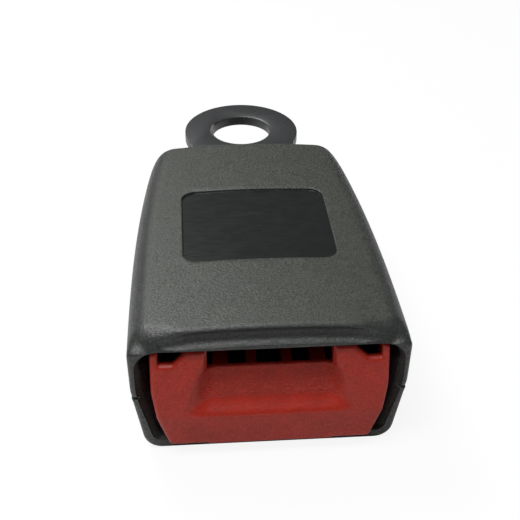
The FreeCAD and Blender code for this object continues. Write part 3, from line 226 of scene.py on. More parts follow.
# Spaces inside the button: name, half width or span across, front, bottom and top
SPACE_END = 9.0
MIDDLE_SPACES = (
    ("behind_shelf", 9.9, 6.5, (7.4, FAR)),
    ("under_shelf", 16.6, 0.6, (4.1, 7.4)),
)
SIDE_SPACES = (
    ("behind_top", (9.9, FAR), 4.4, (15.2, FAR)),
    ("behind_low", (9.9, 17.0), 4.4, (7.0, 15.5)),
    ("side_low", ((15.7, 4.1), (16.8, 4.1), (18.2, 8.6), (19.0, 12.2), (15.7, 12.2)), 0.5, None),
    ("side_high", ((14.5, 12.0), (19.1, 12.0), (19.1, 20.1), (14.5, 20.1)), 2.1, None),
    ("behind_notch", (14.9, 19.15), 1.4, (16.6, FAR)),
)
POCKETS = ((-2.2, 2.2), (4.0, 7.2), (-7.2, -4.0), (9.9, 10.95), (-10.95, -9.9))
POCKET_START = 2.7
POCKET_END = 12.0
POCKET_EDGE = 0.12
POCKET_CORNER_RADIUS = 0.25
ARM_SPAN = (12.4, 19.4)
ARM_START = 2.4
ARM_HEIGHTS = (3.6, 18.6)

# Where the button's coarser grain lies: above this height, fading out between these half widths
GLINT_BOTTOM = 11.4
GLINT_SIDES = (13.6, 11.4)

# Finishes of the parts inside: name, two screen colours, roughness and metallic where it isn't 1
METALS = {
    "frame_steel": ("frame_zinc", (150, 150, 144), (176, 175, 168), 0.38),
    "rivet_steel": ("rivet_zinc", (140, 140, 138), (165, 164, 160), 0.4),
    "latch_steel": ("latch_hard", (96, 96, 98), (120, 120, 122), 0.35),
    "pin_steel": ("pin_ground", (170, 170, 170), (190, 190, 190), 0.25),
    "spring_steel": ("spring_wire", (110, 110, 112), (140, 140, 142), 0.32),
    "screw_steel": ("screw_black", (46, 46, 48), (66, 66, 68), 0.4),
    "ejector_plastic": ("ejector_moulded", (30, 30, 30), (42, 42, 42), 0.5, 0.0),
}

# Camera: its place and axes in the casing's frame
CAMERA_PLACE = (-12.9064, -128.1806, 131.3324)
CAMERA_RIGHT = (0.99700053, -0.07667389, 0.01053863)
CAMERA_DOWN = (-0.035598, -0.57521153, -0.81722976)
CAMERA_FORWARD = (0.06872213, 0.81440335, -0.57621564)
FOCAL_PIXELS = 1000.0
PICTURE_PIXELS = 520.0
SENSOR_WIDTH = 36.0

# Floor and lights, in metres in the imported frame; each light is (name, place, size, power)
FLOOR_DROP = 0.00002
FLOOR_REACH = 1.2
WORLD_STRENGTH = 0.12
LIGHT_TARGET = (0.0, -0.045, 0.0)
LIGHTS = (
    ("key", (-0.12, -0.17, 0.48), (0.26, 0.22), 2.6),
    ("back", (-0.19, 0.23, 0.42), (0.20, 0.14), 2.0),
    ("fill", (0.35, -0.15, 0.25), (0.3, 0.3), 0.15),
)


def to_scene(points):
    """Points of the casing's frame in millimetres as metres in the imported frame."""
    moved = np.asarray(points, float).reshape(-1, 3) - np.array([0.0, LIP_TO_HOLE, STRAP_UNDERSIDE])
    return moved * MM


def smooth_step(value):
    """0 below 0, 1 above 1 and a smooth turn between."""
    t = np.clip(value, 0.0, 1.0)
    return t * t * (3.0 - 2.0 * t)


# Meshes

def new_object(name, data):
    """An object in the scene."""
    made = bpy.data.objects.new(name, data)
    bpy.context.scene.collection.objects.link(made)
    return made


def mesh_object(name, points, faces):
    """An object from points in the casing's frame."""
    mesh = bpy.data.meshes.new(name)
    mesh.from_pydata(to_scene(points).tolist(), [], faces)
    mesh.validate()
    piece = new_object(name, mesh)
    tidy_normals(piece)
    return piece


def tidy_normals(piece):
    """Normals outwards, and no doubled points."""
    work = bmesh.new()
    work.from_mesh(piece.data)
    bmesh.ops.remove_doubles(work, verts=work.verts, dist=1e-6)
    bmesh.ops.recalc_face_normals(work, faces=work.faces)
    work.to_mesh(piece.data)
    work.free()


def quads(*corners):
    """Faces through four equal grids of point numbers."""
    return np.stack(corners, axis=-1).reshape(-1, 4).tolist()


def through_rings(name, rings):
    """A closed solid through rings of equal counts, with flat ends."""
    points = [point for ring in rings for point in ring]
    grid = np.arange(len(points)).reshape(len(rings), -1)
    after = np.roll(grid, -1, axis=1)
    faces = quads(grid[:-1], after[:-1], after[1:], grid[1:])
    ends = [grid[0, ::-1].tolist(), grid[-1].tolist()]
    return mesh_object(name, points, faces + ends)


def combine(piece, cutters, operation):
    """The piece joined with, less or kept within each cutter, which is then removed."""
    for cutter in cutters:
        step = piece.modifiers.new("combine", "BOOLEAN")
        step.operation = operation
        step.solver = "EXACT"
        step.object = cutter
        bake_modifiers(piece)
        bpy.data.objects.remove(cutter)
    return piece


def bake_modifiers(piece):
    """The piece's mesh as its modifiers make it."""
    bpy.context.view_layer.update()
    shaped = piece.evaluated_get(bpy.context.evaluated_depsgraph_get())
    mesh = bpy.data.meshes.new_from_object(shaped)
    piece.modifiers.clear()
    piece.data = mesh


def shade(piece, angle):
    """Smooth shading, with edges sharper than an angle kept sharp."""
    for polygon in piece.data.polygons:
        polygon.use_smooth = True
    piece.data.set_sharp_from_angle(angle=math.radians(angle))


def rounded_outline(corners, steps):
    """Points round corners given as (u, v, radius), with steps in each arc and each straight run."""
    places = []
    count = len(corners)
    for index in range(count):
        corner = np.array(corners[index][:2], float)
        radius = corners[index][2]
        back = np.array(corners[index - 1][:2], float) - corner
        ahead = np.array(corners[(index + 1) % count][:2], float) - corner
        back /= np.linalg.norm(back)
        ahead /= np.linalg.norm(ahead)
        half = math.acos(float(np.clip(back @ ahead, -1.0, 1.0))) / 2.0
        if radius <= 0.0:
            places.append([corner])
            continue
        bisector = back + ahead
        bisector /= np.linalg.norm(bisector)
        centre = corner + bisector * radius / math.sin(half)
        start = corner + back * radius / math.tan(half) - centre
        end = corner + ahead * radius / math.tan(half) - centre
        turn = math.atan2(start[0] * end[1] - start[1] * end[0], start @ end)
        arc = []
        for step in range(steps + 1):
            angle = turn * step / steps
            arc.append(centre + np.array([
                start[0] * math.cos(angle) - start[1] * math.sin(angle),
                start[0] * math.sin(angle) + start[1] * math.cos(angle),
            ]))
        places.append(arc)
    points = []
    for index in range(count):
        points.extend(places[index])
        leaving = places[index][-1]
        arriving = places[(index + 1) % count][0]
        for step in range(1, steps):
            points.append(leaving + (arriving - leaving) * step / steps)
    return np.array(points)


def mirrored(right, top=()):
    """An outline's corners from its right half, with what lies between the halves."""
    return right + list(top) + [(-u, v, radius) for u, v, radius in reversed(right)]


def outward(outline):
    """Unit normals of a closed outline, away from its inside."""
    ahead = np.roll(outline, -1, axis=0) - np.roll(outline, 1, axis=0)
    lengths = np.linalg.norm(ahead, axis=1, keepdims=True)
    normals = np.stack([ahead[:, 1], -ahead[:, 0]], axis=1) / np.maximum(lengths, 1e-9)
    area = np.sum(outline[:, 0] * np.roll(outline[:, 1], -1) - np.roll(outline[:, 0], -1) * outline[:, 1])
    return normals if area > 0 else -normals


def prism(name, corners, levels, place, steps=6):
    """A bar with a rounded outline.

    Levels are (distance, outset), and place turns (u, v, distance) into a point.
    """
    outline = rounded_outline(corners, steps)
    normals = outward(outline)
    rings = []
    for distance, outset in levels:
        ring = outline + normals * outset
        rings.append([place(u, v, distance) for u, v in ring])
    return through_rings(name, rings)


def along_x(u, v, distance):
    return (distance, u, v)


def along_y(u, v, distance):
    return (u, distance, v)


def along_z(u, v, distance):
    return (u, v, distance)


def block(name, low, high):
    """A plain cutter between two corners."""
    corners = [(low[0], low[1], 0), (high[0], low[1], 0), (high[0], high[1], 0), (low[0], high[1], 0)]
    return prism(name, corners, [(low[2], 0.0), (high[2], 0.0)], along_z, steps=1)


def turn(count, steps):
    """The direction after some of a full circle's steps."""
    angle = 2.0 * math.pi * count / steps
    return math.cos(angle), math.sin(angle)


def round_cutter(name, x, y, radius, levels, steps=32):
    """A round hole's cutter; levels are (height, outset)."""
    turns = [turn(step, steps) for step in range(steps)]
    rings = []
    for height, outset in levels:
        reach = radius + outset
        rings.append([(x + reach * cos, y + reach * sin, height) for cos, sin in turns])
    return through_rings(name, rings)


def inner_part(node, region):
    """What a node's solid holds within a region, to be joined to the outside drawn here."""
    source = frame["nodes"][node]
    mesh = source.data.copy()
    mesh.transform(source.matrix_world)
    mesh.materials.clear()
    part = new_object("inner", mesh)
    tidy_normals(part)
    return combine(part, [region], "INTERSECT")


def middle_of(box):
    """The middle of a node's box seen from above, in the casing's frame."""
    low, high = box
    middle = (low + high) / 2.0
    return middle.x / MM, middle.y / MM + LIP_TO_HOLE


# Casing

def half_width(y):
    share = max(y, 0.0) / LENGTH
    taper = TAIL_TAPER * share ** TAPER_POWER
    rounding = TAIL_ROUNDING * share ** TAIL_ROUNDING_POWER
    return MOUTH_HALF_WIDTH - taper - rounding


def top_height(y):
    return MOUTH_HEIGHT - (MOUTH_HEIGHT - TAIL_HEIGHT) * y / LENGTH


def crown_height(x, y):
    """Height of the crowned top at a place."""
    crown = math.radians(CROWN_ANGLE)
    radius = (half_width(y) - CROWN_END * TOP_CORNER_RADIUS) / math.tan(crown)
    return top_height(y) - (radius - math.sqrt(radius ** 2 - x ** 2))


def section_corners(y, inset):
    """Corners of the casing's cross section, from the lower right round over the top."""
    half = half_width(y) - inset
    top_radius = max(TOP_CORNER_RADIUS - inset, LEAST_CORNER_RADIUS)
    bottom_radius = max(BOTTOM_CORNER_RADIUS - inset, LEAST_CORNER_RADIUS)
    crown = math.radians(CROWN_ANGLE)
    crown_radius = (half - CROWN_END * top_radius) / math.tan(crown)
    apex = top_height(y) - inset + crown_radius * (1.0 / math.cos(crown) - 1.0)
    right = [
        (half - SIDE_LEAN, inset, bottom_radius),
        (half - SIDE_SWELL, SIDE_BEND_HEIGHT, SIDE_BEND_RADIUS),
        (half, apex - half * math.tan(crown), top_radius),
    ]
    return mirrored(right, [(0.0, apex, crown_radius)])


def right_profile(y):
    """The right half of a section, from the middle of the floor to the middle of the top."""
    kept = [[0.0, 0.0]]
    for point in rounded_outline(section_corners(y, 0.0), SECTION_STEPS):
        if point[0] < 1e-6:
            break
        kept.append(point)
    kept.append([0.0, top_height(y)])
    return np.array(kept)


def resampled(line, parts):
    """A polyline cut into even lengths."""
    steps = np.linalg.norm(np.diff(line, axis=0), axis=1)
    reached = np.concatenate([[0.0], np.cumsum(steps)])
    wanted = np.linspace(0.0, reached[-1], parts + 1)
    return np.stack([np.interp(wanted, reached, line[:, axis]) for axis in (0, 1)], axis=1)


def cut_at_seam(line, above):
    """The part of a right profile above or below the seam."""
    side = np.argmax(line[:, 1] > SEAM)
    share = (SEAM - line[side - 1, 1]) / (line[side, 1] - line[side - 1, 1])
    crossing = line[side - 1] + (line[side] - line[side - 1]) * share
    if above:
        return np.vstack([[crossing], line[side:]])
    return np.vstack([line[:side], [crossing]])


def lip_inset(distance):
    """How far the top is drawn in near the front: a crest, a step, a sloping band and an edge."""
    if distance > LIP_STEP_PLACE + LIP_CREST_REACH:
        return 0.0
    if distance > LIP_STEP_PLACE:
        share = (LIP_STEP_PLACE + LIP_CREST_REACH - distance) / LIP_CREST_REACH
        return LIP_STEP_TOP * share ** LIP_CREST_POWER
    step_end = LIP_STEP_PLACE - LIP_STEP_WIDTH
    if distance > step_end:
        share = (LIP_STEP_PLACE - distance) / LIP_STEP_WIDTH
        return LIP_STEP_TOP + (LIP_STEP_BOTTOM - LIP_STEP_TOP) * share
    if distance > LIP_EDGE_WIDTH:
        share = (step_end - distance) / (step_end - LIP_EDGE_WIDTH)
        return LIP_STEP_BOTTOM + (LIP_EDGE_TOP - LIP_STEP_BOTTOM) * share ** LIP_BAND_POWER
    share = 1.0 - distance / LIP_EDGE_WIDTH
    return LIP_EDGE_TOP + (LIP_DROP - LIP_EDGE_TOP) * share ** LIP_EDGE_POWER


def plain_lip_inset(distance):
    """The same edge where the step has faded out."""
    if distance > LIP_REACH:
        return 0.0
    share = 1.0 - distance / LIP_REACH
    return LIP_DROP * share ** LIP_REACH_POWER


def quarter_inset(distance, radius):
    """How far a surface is drawn in near an end with a rounded edge."""
    if distance >= radius:
        return 0.0
    return radius - math.sqrt(max(0.0, radius ** 2 - (radius - distance) ** 2))


def half_profile(y, above, parts):
    """The right half of one casing half's outside at y, with the lip and the rounded ends."""
    line = resampled(cut_at_seam(right_profile(y), above), parts)
    tangents = np.gradient(line, axis=0)
    normals = np.stack([tangents[:, 1], -tangents[:, 0]], axis=1)
    normals /= np.maximum(np.linalg.norm(normals, axis=1, keepdims=True), 1e-9)
    insets = np.zeros(len(line))
    side = quarter_inset(y, FRONT_ROUNDING)
    tail = quarter_inset(LENGTH - y, TAIL_ROUNDING_RADIUS)
    for index, (across, _) in enumerate(line):
        upward = smooth_step((normals[index, 1] - UPWARD_START) / UPWARD_SPAN) if above else 0.0
        stepped = 1.0 - smooth_step((abs(across) - LIP_STEP_HALF_WIDTH) / LIP_STEP_FADE)
        top = stepped * lip_inset(y) + (1.0 - stepped) * plain_lip_inset(y)
        insets[index] = side * (1.0 - upward) + top * upward + tail
    drawn = line - normals * insets[:, None]
    drawn[-1 if above else 0, 0] = 0.0
    return drawn


def half_ring(y, above, parts):
    """The closed ring of one casing half at y, with the seam's bevel."""
    profile = half_profile(y, above, parts)
    ordered = profile if above else profile[::-1]
    direction = 1.0 if above else -1.0
    foot = np.array([ordered[0, 0] - SEAM_DEPTH, SEAM])
    start = np.array([ordered[0, 0], SEAM + direction * SEAM_HALF_WIDTH])
    # the outside begins at the bevel's top, so what lies closer to the seam is moved up to it
    moved = ordered.copy()
    reach = SEAM_HALF_WIDTH * SEAM_BLEND
    from_seam = np.abs(ordered[:, 1] - SEAM)
    near = from_seam < reach
    near[len(near) // 2:] = False
    eased = SEAM_HALF_WIDTH + from_seam[near] * (1.0 - SEAM_HALF_WIDTH / reach)
    moved[near, 1] = SEAM + direction * eased
    moved[0] = start
    right = np.vstack([[foot], moved])
    left = right[::-1] * np.array([-1.0, 1.0])
    ring = np.vstack([right[:-1], left])
    return [(x, y, z) for x, z in ring]


def stations():
    """Places along the casing, close together where its edges round."""
    lip = [0.0, 0.03, 0.07, 0.12, 0.16, 0.24, 0.38, 0.55, 0.75, 0.92, 1.0, 1.05, 1.1]
    crest = [1.15, 1.22, 1.32, 1.46, 1.64, 1.86, 2.12, 2.4, 2.8, 3.3, 3.9, 4.6, 5.6, 7.0]
    middle = np.linspace(9.0, LENGTH - 5.0, MIDDLE_STATIONS).tolist()
    tail = [LENGTH - 4.0, LENGTH - 3.2, LENGTH - 2.6]
    turn = []
    for step in range(TAIL_ROUNDING_STEPS + 1):
        angle = math.pi / 2.0 * step / TAIL_ROUNDING_STEPS
        turn.append(LENGTH - TAIL_ROUNDING_RADIUS * (1.0 - math.sin(angle)))
    return lip + crest + middle + tail + turn


def casing_half(name, above, parts):
    """One half's outside, hollowed, with the rim's sloping side walls."""
    piece = through_rings(name, [half_ring(y, above, parts) for y in stations()])
    combine(piece, [hollow(RIM_DEPTH, LENGTH - WALL, WALL)], "DIFFERENCE")
    return combine(piece, [rim_slope(above)], "UNION")


def hollow(start, end, inset):
    """The space inside the casing."""
    rings = []
    for y in np.linspace(start, end, HOLLOW_STATIONS):
        outline = rounded_outline(section_corners(y, inset), 5)
        rings.append([(x, y, z) for x, z in outline])
    return through_rings("hollow", rings)


def casing_inside(node, inset):
    """What a casing node holds deeper than an inset: its ribs, bosses, seats and posts."""
    return inner_part(node, hollow(RIM_DEPTH - 0.05, LENGTH - inset, inset))


def mouth_outline():
    """The opening in the rim, seen from the front."""
    return mirrored([
        (MOUTH_HALF - MOUTH_LEAN, RIM_FLOOR, MOUTH_CORNER_RADIUS / 2.0),
        (MOUTH_HALF, SIDE_BEND_HEIGHT, SIDE_BEND_RADIUS),
        (MOUTH_HALF, LIP_UNDERSIDE, MOUTH_CORNER_RADIUS),
    ])


def mouth_cutter():
    """What is open inside the rim: flared at the front, with sides that slope in by the button."""
    outline = rounded_outline(mouth_outline(), 10)
    below_corner = 1.0 - smooth_step((outline[:, 1] - RIM_SLOPE_END_HEIGHT) / RIM_SLOPE_FADE)
    depths = (-1.0, 0.0, 0.1, 0.25, 0.5, 0.9, 1.4, 2.0, 2.6, 3.2, 3.7)
    rings = []
    for y in depths + (RIM_SLOPE_DEPTH, RIM_SLOPE_DEPTH + 0.5):
        share = min(max(y, 0.0) / RIM_SLOPE_DEPTH, 1.0)
        flare = RIM_FLARE * (1.0 - smooth_step(share * RIM_FLARE_SHARE))
        inward = RIM_NARROWING * smooth_step(share) * below_corner
        across = outline[:, 0] / MOUTH_HALF * (flare - inward)
        near_front = 1.0 - smooth_step(max(y, 0.0) / LIP_LIFT_DEPTH)
        lift = LIP_LIFT * near_front * (1.0 - below_corner)
        places = outline + np.stack([across, lift], axis=1)
        rings.append([(x, y, z) for x, z in places])
    return through_rings("mouth", rings)


def rim_slope(above):
    """The sloping side walls inside the rim, for one casing half, before the opening is cut."""
    levels = [(RIM_SLOPE_START, RIM_SLOPE_INSIDE_WALL), (RIM_SLOPE_DEPTH, RIM_SLOPE_INSIDE_WALL)]
    slope = prism("slope", mouth_outline(), levels, along_y, steps=10)
    low, high = (SEAM, FAR_ABOVE) if above else (FAR_BELOW, SEAM)
    sides = block("side", (-FAR, FAR_FRONT, low), (FAR, FAR, high))
    combine(slope, [sides], "INTERSECT")
    half = RIM_MIDDLE_HALF_WIDTH
    middle = block("middle", (-half, FAR_FRONT, RIM_FLOOR), (half, FAR, FAR_ABOVE))
    return combine(slope, [middle], "DIFFERENCE")


def seam_groove():
    """The seam's groove across the rim's front face."""
    corners = [
        (GROOVE_START, SEAM - GROOVE_HALF_WIDTH, 0.0),
        (GROOVE_DEPTH, SEAM, 0.0),
        (GROOVE_START, SEAM + GROOVE_HALF_WIDTH, 0.0),
    ]
    return prism("groove", corners, [(-FAR, 0.0), (FAR, 0.0)], along_x, steps=1)


def lip_cove():
    """The hollow under the lip's crest, which runs out towards both sides."""
    fade = COVE_HALF_LENGTH - COVE_FULL_HALF_LENGTH
    radius = COVE_RADIUS
    rings = []
    for x in np.linspace(-COVE_HALF_LENGTH, COVE_HALF_LENGTH, 39):
        depth = COVE_DEPTH * (1.0 - smooth_step((abs(x) - COVE_FULL_HALF_LENGTH) / fade))
        y = LIP_STEP_PLACE - LIP_STEP_WIDTH + (depth + COVE_END_DEPTH) - radius
        z = COVE_HEIGHT - (crown_height(0.0, 0.0) - crown_height(x, 0.0))
        turns = [turn(step, 32) for step in range(32)]
        rings.append([(x, y + radius * cos, z + radius * sin) for cos, sin in turns])
    return through_rings("cove", rings)


def recess_cutter():
    """The shallow field in the top: eased upright sides and a floor that follows the crown."""
    end = RECESS_START + RECESS_LENGTH
    places = [(RECESS_HALF_WIDTH, y, RECESS_CORNER_RADIUS) for y in (RECESS_START, end)]
    outline = rounded_outline(mirrored(places), 12)
    normals = outward(outline)
    middle = np.array([0.0, (RECESS_START + end) / 2.0])
    # each level is how far outside the outline it lies and how far above the crown
    levels = [(0.3, 5.0), (0.22, 0.03), (0.1, -0.02), (0.02, -0.1), (0.0, -0.18), (0.0, -0.36)]
    rings = []
    for outset, rise in levels + [(-RECESS_FOOT, -RECESS_DEPTH)]:
        ring = outline + normals * outset
        rings.append([(x, y, crown_height(x, y) + rise) for x, y in ring])
    for share in (0.93, 0.8, 0.6, 0.4, 0.25):
        ring = middle + (outline - normals * RECESS_FOOT - middle) * share
        rings.append([(x, y, crown_height(x, y) - RECESS_DEPTH) for x, y in ring])
    return through_rings("recess", rings)


def strap_slot_cutter():
    """The way the strap takes through the tail wall."""
    half = STRAP_HALF_WIDTH + SLOT_CLEARANCE
    high = STRAP_UNDERSIDE + STRAP_THICKNESS + SLOT_CLEARANCE
    edge = SLOT_EDGE
    levels = [(LENGTH - 5.0, 0.0), (LENGTH - edge, 0.0), (LENGTH - 0.1, 0.08), (LENGTH, edge)]
    corners = mirrored([(half, SEAM - 1.0, 0.0), (half, high, 0.4)])
    return prism("slot", corners, levels + [(LENGTH + 2.0, edge)], along_y, steps=3)


def screw_places():
    """Middles of the four screws, read from their nodes."""
    names = ("front_left", "front_right", "rear_left", "rear_right")
    return [middle_of(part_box("casing_screw_" + name)) for name in names]


def build_upper_casing():
    """Upper half: crowned top, stepped lip, field and strap slot, with its ribs and bosses."""
    piece = casing_half("upper_shell", True, UPPER_PARTS)
    cutters = [mouth_cutter(), seam_groove(), recess_cutter(), strap_slot_cutter(), lip_cove()]
    combine(piece, cutters, "DIFFERENCE")
    level = block("level", (-FAR, FAR_FRONT, SEAM - 1.0), (FAR, FAR_BACK, SEAM + LOCATING_RISE))
    half_wall = WALL / 2.0
    rebate = hollow(LOCATING_START, LENGTH - half_wall, half_wall - LOCATING_CLEARANCE)
    combine(rebate, [level], "INTERSECT")
    combine(piece, [rebate], "DIFFERENCE")
    return combine(piece, [casing_inside("upper_casing", UPPER_JOIN)], "UNION")


def build_lower_casing():
    """Lower half: floor, leaning sides, screw wells and the tab under the strap, with its seats."""
    piece = casing_half("lower_shell", False, LOWER_PARTS)
    combine(piece, [mouth_cutter(), seam_groove()], "DIFFERENCE")
    combine(piece, [casing_inside("lower_casing", LOWER_JOIN)], "UNION")
    levels = [(-1.0, WELL_EDGE), (0.0, WELL_EDGE), (0.1, 0.1), (0.3, 0.0), (WELL_DEPTH, 0.0)]
    wells = [round_cutter("well", x, y, WELL_RADIUS, levels) for x, y in screw_places()]
    combine(piece, wells, "DIFFERENCE")
    half = STRAP_HALF_WIDTH - TAB_CLEARANCE
    corners = mirrored([(half, SEAM - TAB_DEPTH, 0.0), (half, STRAP_UNDERSIDE, 0.4)])
    levels = [(LENGTH - WALL - 0.2, 0.0), (LENGTH - 0.25, 0.0), (LENGTH - 0.05, -TAB_CLEARANCE)]
    return combine(piece, [prism("tab", corners, levels, along_y, steps=3)], "UNION")


# Strap

def arc(centre, radius, first, last, steps):
    """Points along an arc, from its first angle to its last."""
    angles = [first + (last - first) * step / steps for step in range(steps + 1)]
    return [centre + radius * np.array([math.cos(angle), math.sin(angle)]) for angle in angles]


def strap_outline():
    """The strap's outline seen from above, from inside the casing round the eye."""
    eye = np.array([0.0, LIP_TO_HOLE])
    neck_x = STRAP_HALF_WIDTH + EYE_NECK_RADIUS
    neck_y = LIP_TO_HOLE - math.sqrt((EYE_RADIUS + EYE_NECK_RADIUS) ** 2 - neck_x ** 2)
    meet = math.atan2(LIP_TO_HOLE - neck_y, -neck_x)
    neck = arc(np.array([neck_x, neck_y]), EYE_NECK_RADIUS, math.pi, meet, 12)
    contact = neck[-1] - eye
    round_eye = arc(eye, EYE_RADIUS, math.atan2(contact[1], contact[0]), math.pi / 2.0, 48)
    right = np.array([[STRAP_HALF_WIDTH, LENGTH - STRAP_SHOWN]] + neck + round_eye[1:])
    left = right[:-1][::-1] * np.array([-1.0, 1.0])
    return np.vstack([right, left])


def eased(low, high, edge, places):
    """Levels through a thickness whose edges are eased; places are (depth, share of the edge)."""
    below = [(low + depth, edge * share) for depth, share in places]
    return below + [(high - depth, edge * share) for depth, share in reversed(places)]


def build_strap():
    """The strap's eye and neck with eased edges; its tongue goes on inside the casing."""
    outline = strap_outline()
    normals = outward(outline)
    low = STRAP_UNDERSIDE
    high = low + STRAP_THICKNESS
    edge_places = [(0.0, 1.0), (0.04, 0.6), (0.14, 0.15), (STRAP_EDGE, 0.0)]
    rings = []
    for height, inset in eased(low, high, STRAP_EDGE, edge_places):
        rings.append([(x, y, height) for x, y in outline - normals * inset])
    piece = through_rings("strap_shell", rings)
    hole_places = [(-1.0, 1.0), (0.0, 1.0), (0.08, 0.55), (0.22, 0.15), (HOLE_EDGE, 0.0)]
    levels = eased(low, high, HOLE_EDGE, hole_places)
    hole = round_cutter("hole", 0.0, LIP_TO_HOLE, ANCHOR_HOLE_RADIUS, levels, steps=96)
    half = STRAP_HALF_WIDTH - 0.05
    corners = mirrored([
        (TONGUE_END_HALF_WIDTH, TONGUE_START, 2.0), (STRAP_HALF_WIDTH - 1.5, TONGUE_SHOULDER, 0.6),
        (half, TONGUE_FULL, 0.6), (half, LENGTH - TONGUE_JOIN, 0.0),
    ])
    levels = [(low + 0.02, 0.0), (high - 0.02, 0.0)]
    tongue = prism("tongue", corners, levels, along_z, steps=4)
    combine(piece, [hole], "DIFFERENCE")
    combine(piece, [tongue], "UNION")
    levels = [(low - 1.0, 0.0), (high + 1.0, 0.0)]
    rivet_holes = []
    for side in ("left", "right"):
        x, y = middle_of(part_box("anchor_rivet_" + side))
        rivet_holes.append(round_cutter("rivet_hole", x, y, RIVET_RADIUS, levels))
    return combine(piece, rivet_holes, "DIFFERENCE")


# Button

def front_outline():
    """The button from the front: sides, tabs, notches, ramps and shoulders beside the shelf."""
    return mirrored([
        (BUTTON_BOTTOM_HALF_WIDTH, BUTTON_BOTTOM, 0.9),
        (*BUTTON_WAIST, 8.0),
        (BUTTON_HALF_WIDTH, BUTTON_CHEST_HEIGHT, 12.0),
        (BUTTON_HALF_WIDTH, BUTTON_TOP, 0.9),
        (NOTCH_OUTER, BUTTON_TOP, 0.3),
        (NOTCH_OUTER, NOTCH_FLOOR, 0.3),
        (NOTCH_INNER, NOTCH_FLOOR, 0.8),
        (SHOULDER_HALF_WIDTH, BUTTON_TOP, 0.8),
        (SHELF_HALF_WIDTH, BUTTON_TOP, 0.25),
        (SHELF_HALF_WIDTH, SHELF_TOP, 0.0),
    ])


def plain_face(z):
    """How far forward the face stands at a height, without its dish."""
    lean = np.clip((z - BUTTON_BULGE_TOP) / (BUTTON_TOP - BUTTON_BULGE_TOP), 0.0, 1.2)
    return -BUTTON_BULGE + (BUTTON_BULGE + BUTTON_TOP_SETBACK) * lean ** BUTTON_LEAN_POWER


def soft_above_zero(value, reach):
    """The value where it is positive and 0 where it isn't, with a soft turn."""
    return (value + np.sqrt(value ** 2 + reach ** 2)) / 2.0


def dish_depth(x, z):
    """How far the dish goes in behind the plain face."""
    rise = SHELF_TOP - DISH_BOTTOM
    depth = BUTTON_BULGE + DISH_DEPTH
    radius = (rise ** 2 + depth ** 2) / (2.0 * depth)
    drop = np.clip(SHELF_TOP - z, 0.0, radius * 0.98)
    arc = DISH_DEPTH - radius + np.sqrt(radius ** 2 - drop ** 2)
    floor = np.minimum(arc, DISH_DEPTH) - plain_face(z)
    lowest = np.clip((z - DISH_BOTTOM + DISH_EASE_BELOW) / DISH_EASE_SPAN, 0.0, 1.0)
    inward = np.maximum(soft_above_zero(floor, DISH_SOFTNESS) - 0.02, 0.0) * smooth_step(lowest)
    share = np.clip((z - DISH_BOTTOM) / (BUTTON_TOP - DISH_BOTTOM), 0.0, 1.0)
    bottom = DISH_BOTTOM_HALF_WIDTH + DISH_BOTTOM_SPREAD
    top = SHELF_HALF_WIDTH + DISH_TOP_SPREAD
    border = bottom - (bottom - top) * share
    fade = DISH_BOTTOM_FADE - DISH_FADE_LOSS * share
    return inward * smooth_step((border - np.abs(x)) / fade)


def within(outline, x, z):
    """Distance of each place from a closed outline, counted only inside it."""
    nearest = np.full(x.shape, 1e9)
    crossings = np.zeros(x.shape, int)
    for start, end in zip(outline, np.roll(outline, -1, axis=0)):
        run = end - start
        length = run @ run
        if length < 1e-12:
            continue
        share = np.clip(((x - start[0]) * run[0] + (z - start[1]) * run[1]) / length, 0.0, 1.0)
        away = np.hypot(x - start[0] - share * run[0], z - start[1] - share * run[1])
        nearest = np.minimum(nearest, away)
        spans = (start[1] > z) != (end[1] > z)
        if abs(run[1]) > 1e-12:
            crossings += spans & (x < start[0] + run[0] * (z - start[1]) / run[1])
    return np.where(crossings % 2 == 1, nearest, 0.0)


def finely(spans):
    """Places from spans given as (start, end, step)."""
    places = []
    for start, end, step in spans:
        places.extend(np.arange(start, end - step / 2.0, step).tolist())
    return places + [spans[-1][1]]


def button_face():
    """The button's front: its face, with sides that stand proud of its outline."""
    right = np.array(finely(FACE_COLUMNS))
    columns = np.concatenate([-right[:0:-1], right])
    x, z = np.meshgrid(columns, np.array(finely(FACE_ROWS)))
    inside = within(rounded_outline(front_outline(), 8), x, z)
    rounding = np.where(np.abs(x) < SHELF_HALF_WIDTH, SHELF_EDGE_ROUNDING, EDGE_ROUNDING)
    inside = np.clip(inside, 0.0, rounding)
    edge = rounding - np.sqrt(np.maximum(rounding ** 2 - (rounding - inside) ** 2, 0.0))
    y = plain_face(z) + dish_depth(x, z) + edge
    front = np.stack([x, y, z], axis=-1).reshape(-1, 3)
    grid = np.arange(x.size).reshape(x.shape)
    faces = quads(grid[:-1, :-1], grid[:-1, 1:], grid[1:, 1:], grid[1:, :-1])
    rim = np.concatenate([grid[0], grid[1:, -1], grid[-1, -2::-1], grid[-2:0:-1, 0]])
    back = front[rim].copy()
    back[:, 1] = BUTTON_END + 1.0
    behind = len(front) + np.arange(len(rim))
    faces += quads(np.roll(rim, -1), rim, behind, np.roll(behind, -1))
    faces.append(behind.tolist())
    return mesh_object("button_shell", np.vstack([front, back]), faces)


def side_space(side, name, across, start, heights):
    """A space on one side of the button: a block, or a bar where there are corners instead."""
    if heights is None:
        corners = [(side * x, z, 0.0) for x, z in across]
        return prism(name, corners, [(start, 0.0), (SPACE_END, 0.0)], along_y, steps=1)
    near, far = sorted((side * across[0], side * across[1]))
    return block(name, (near, start, heights[0]), (far, SPACE_END, heights[1]))


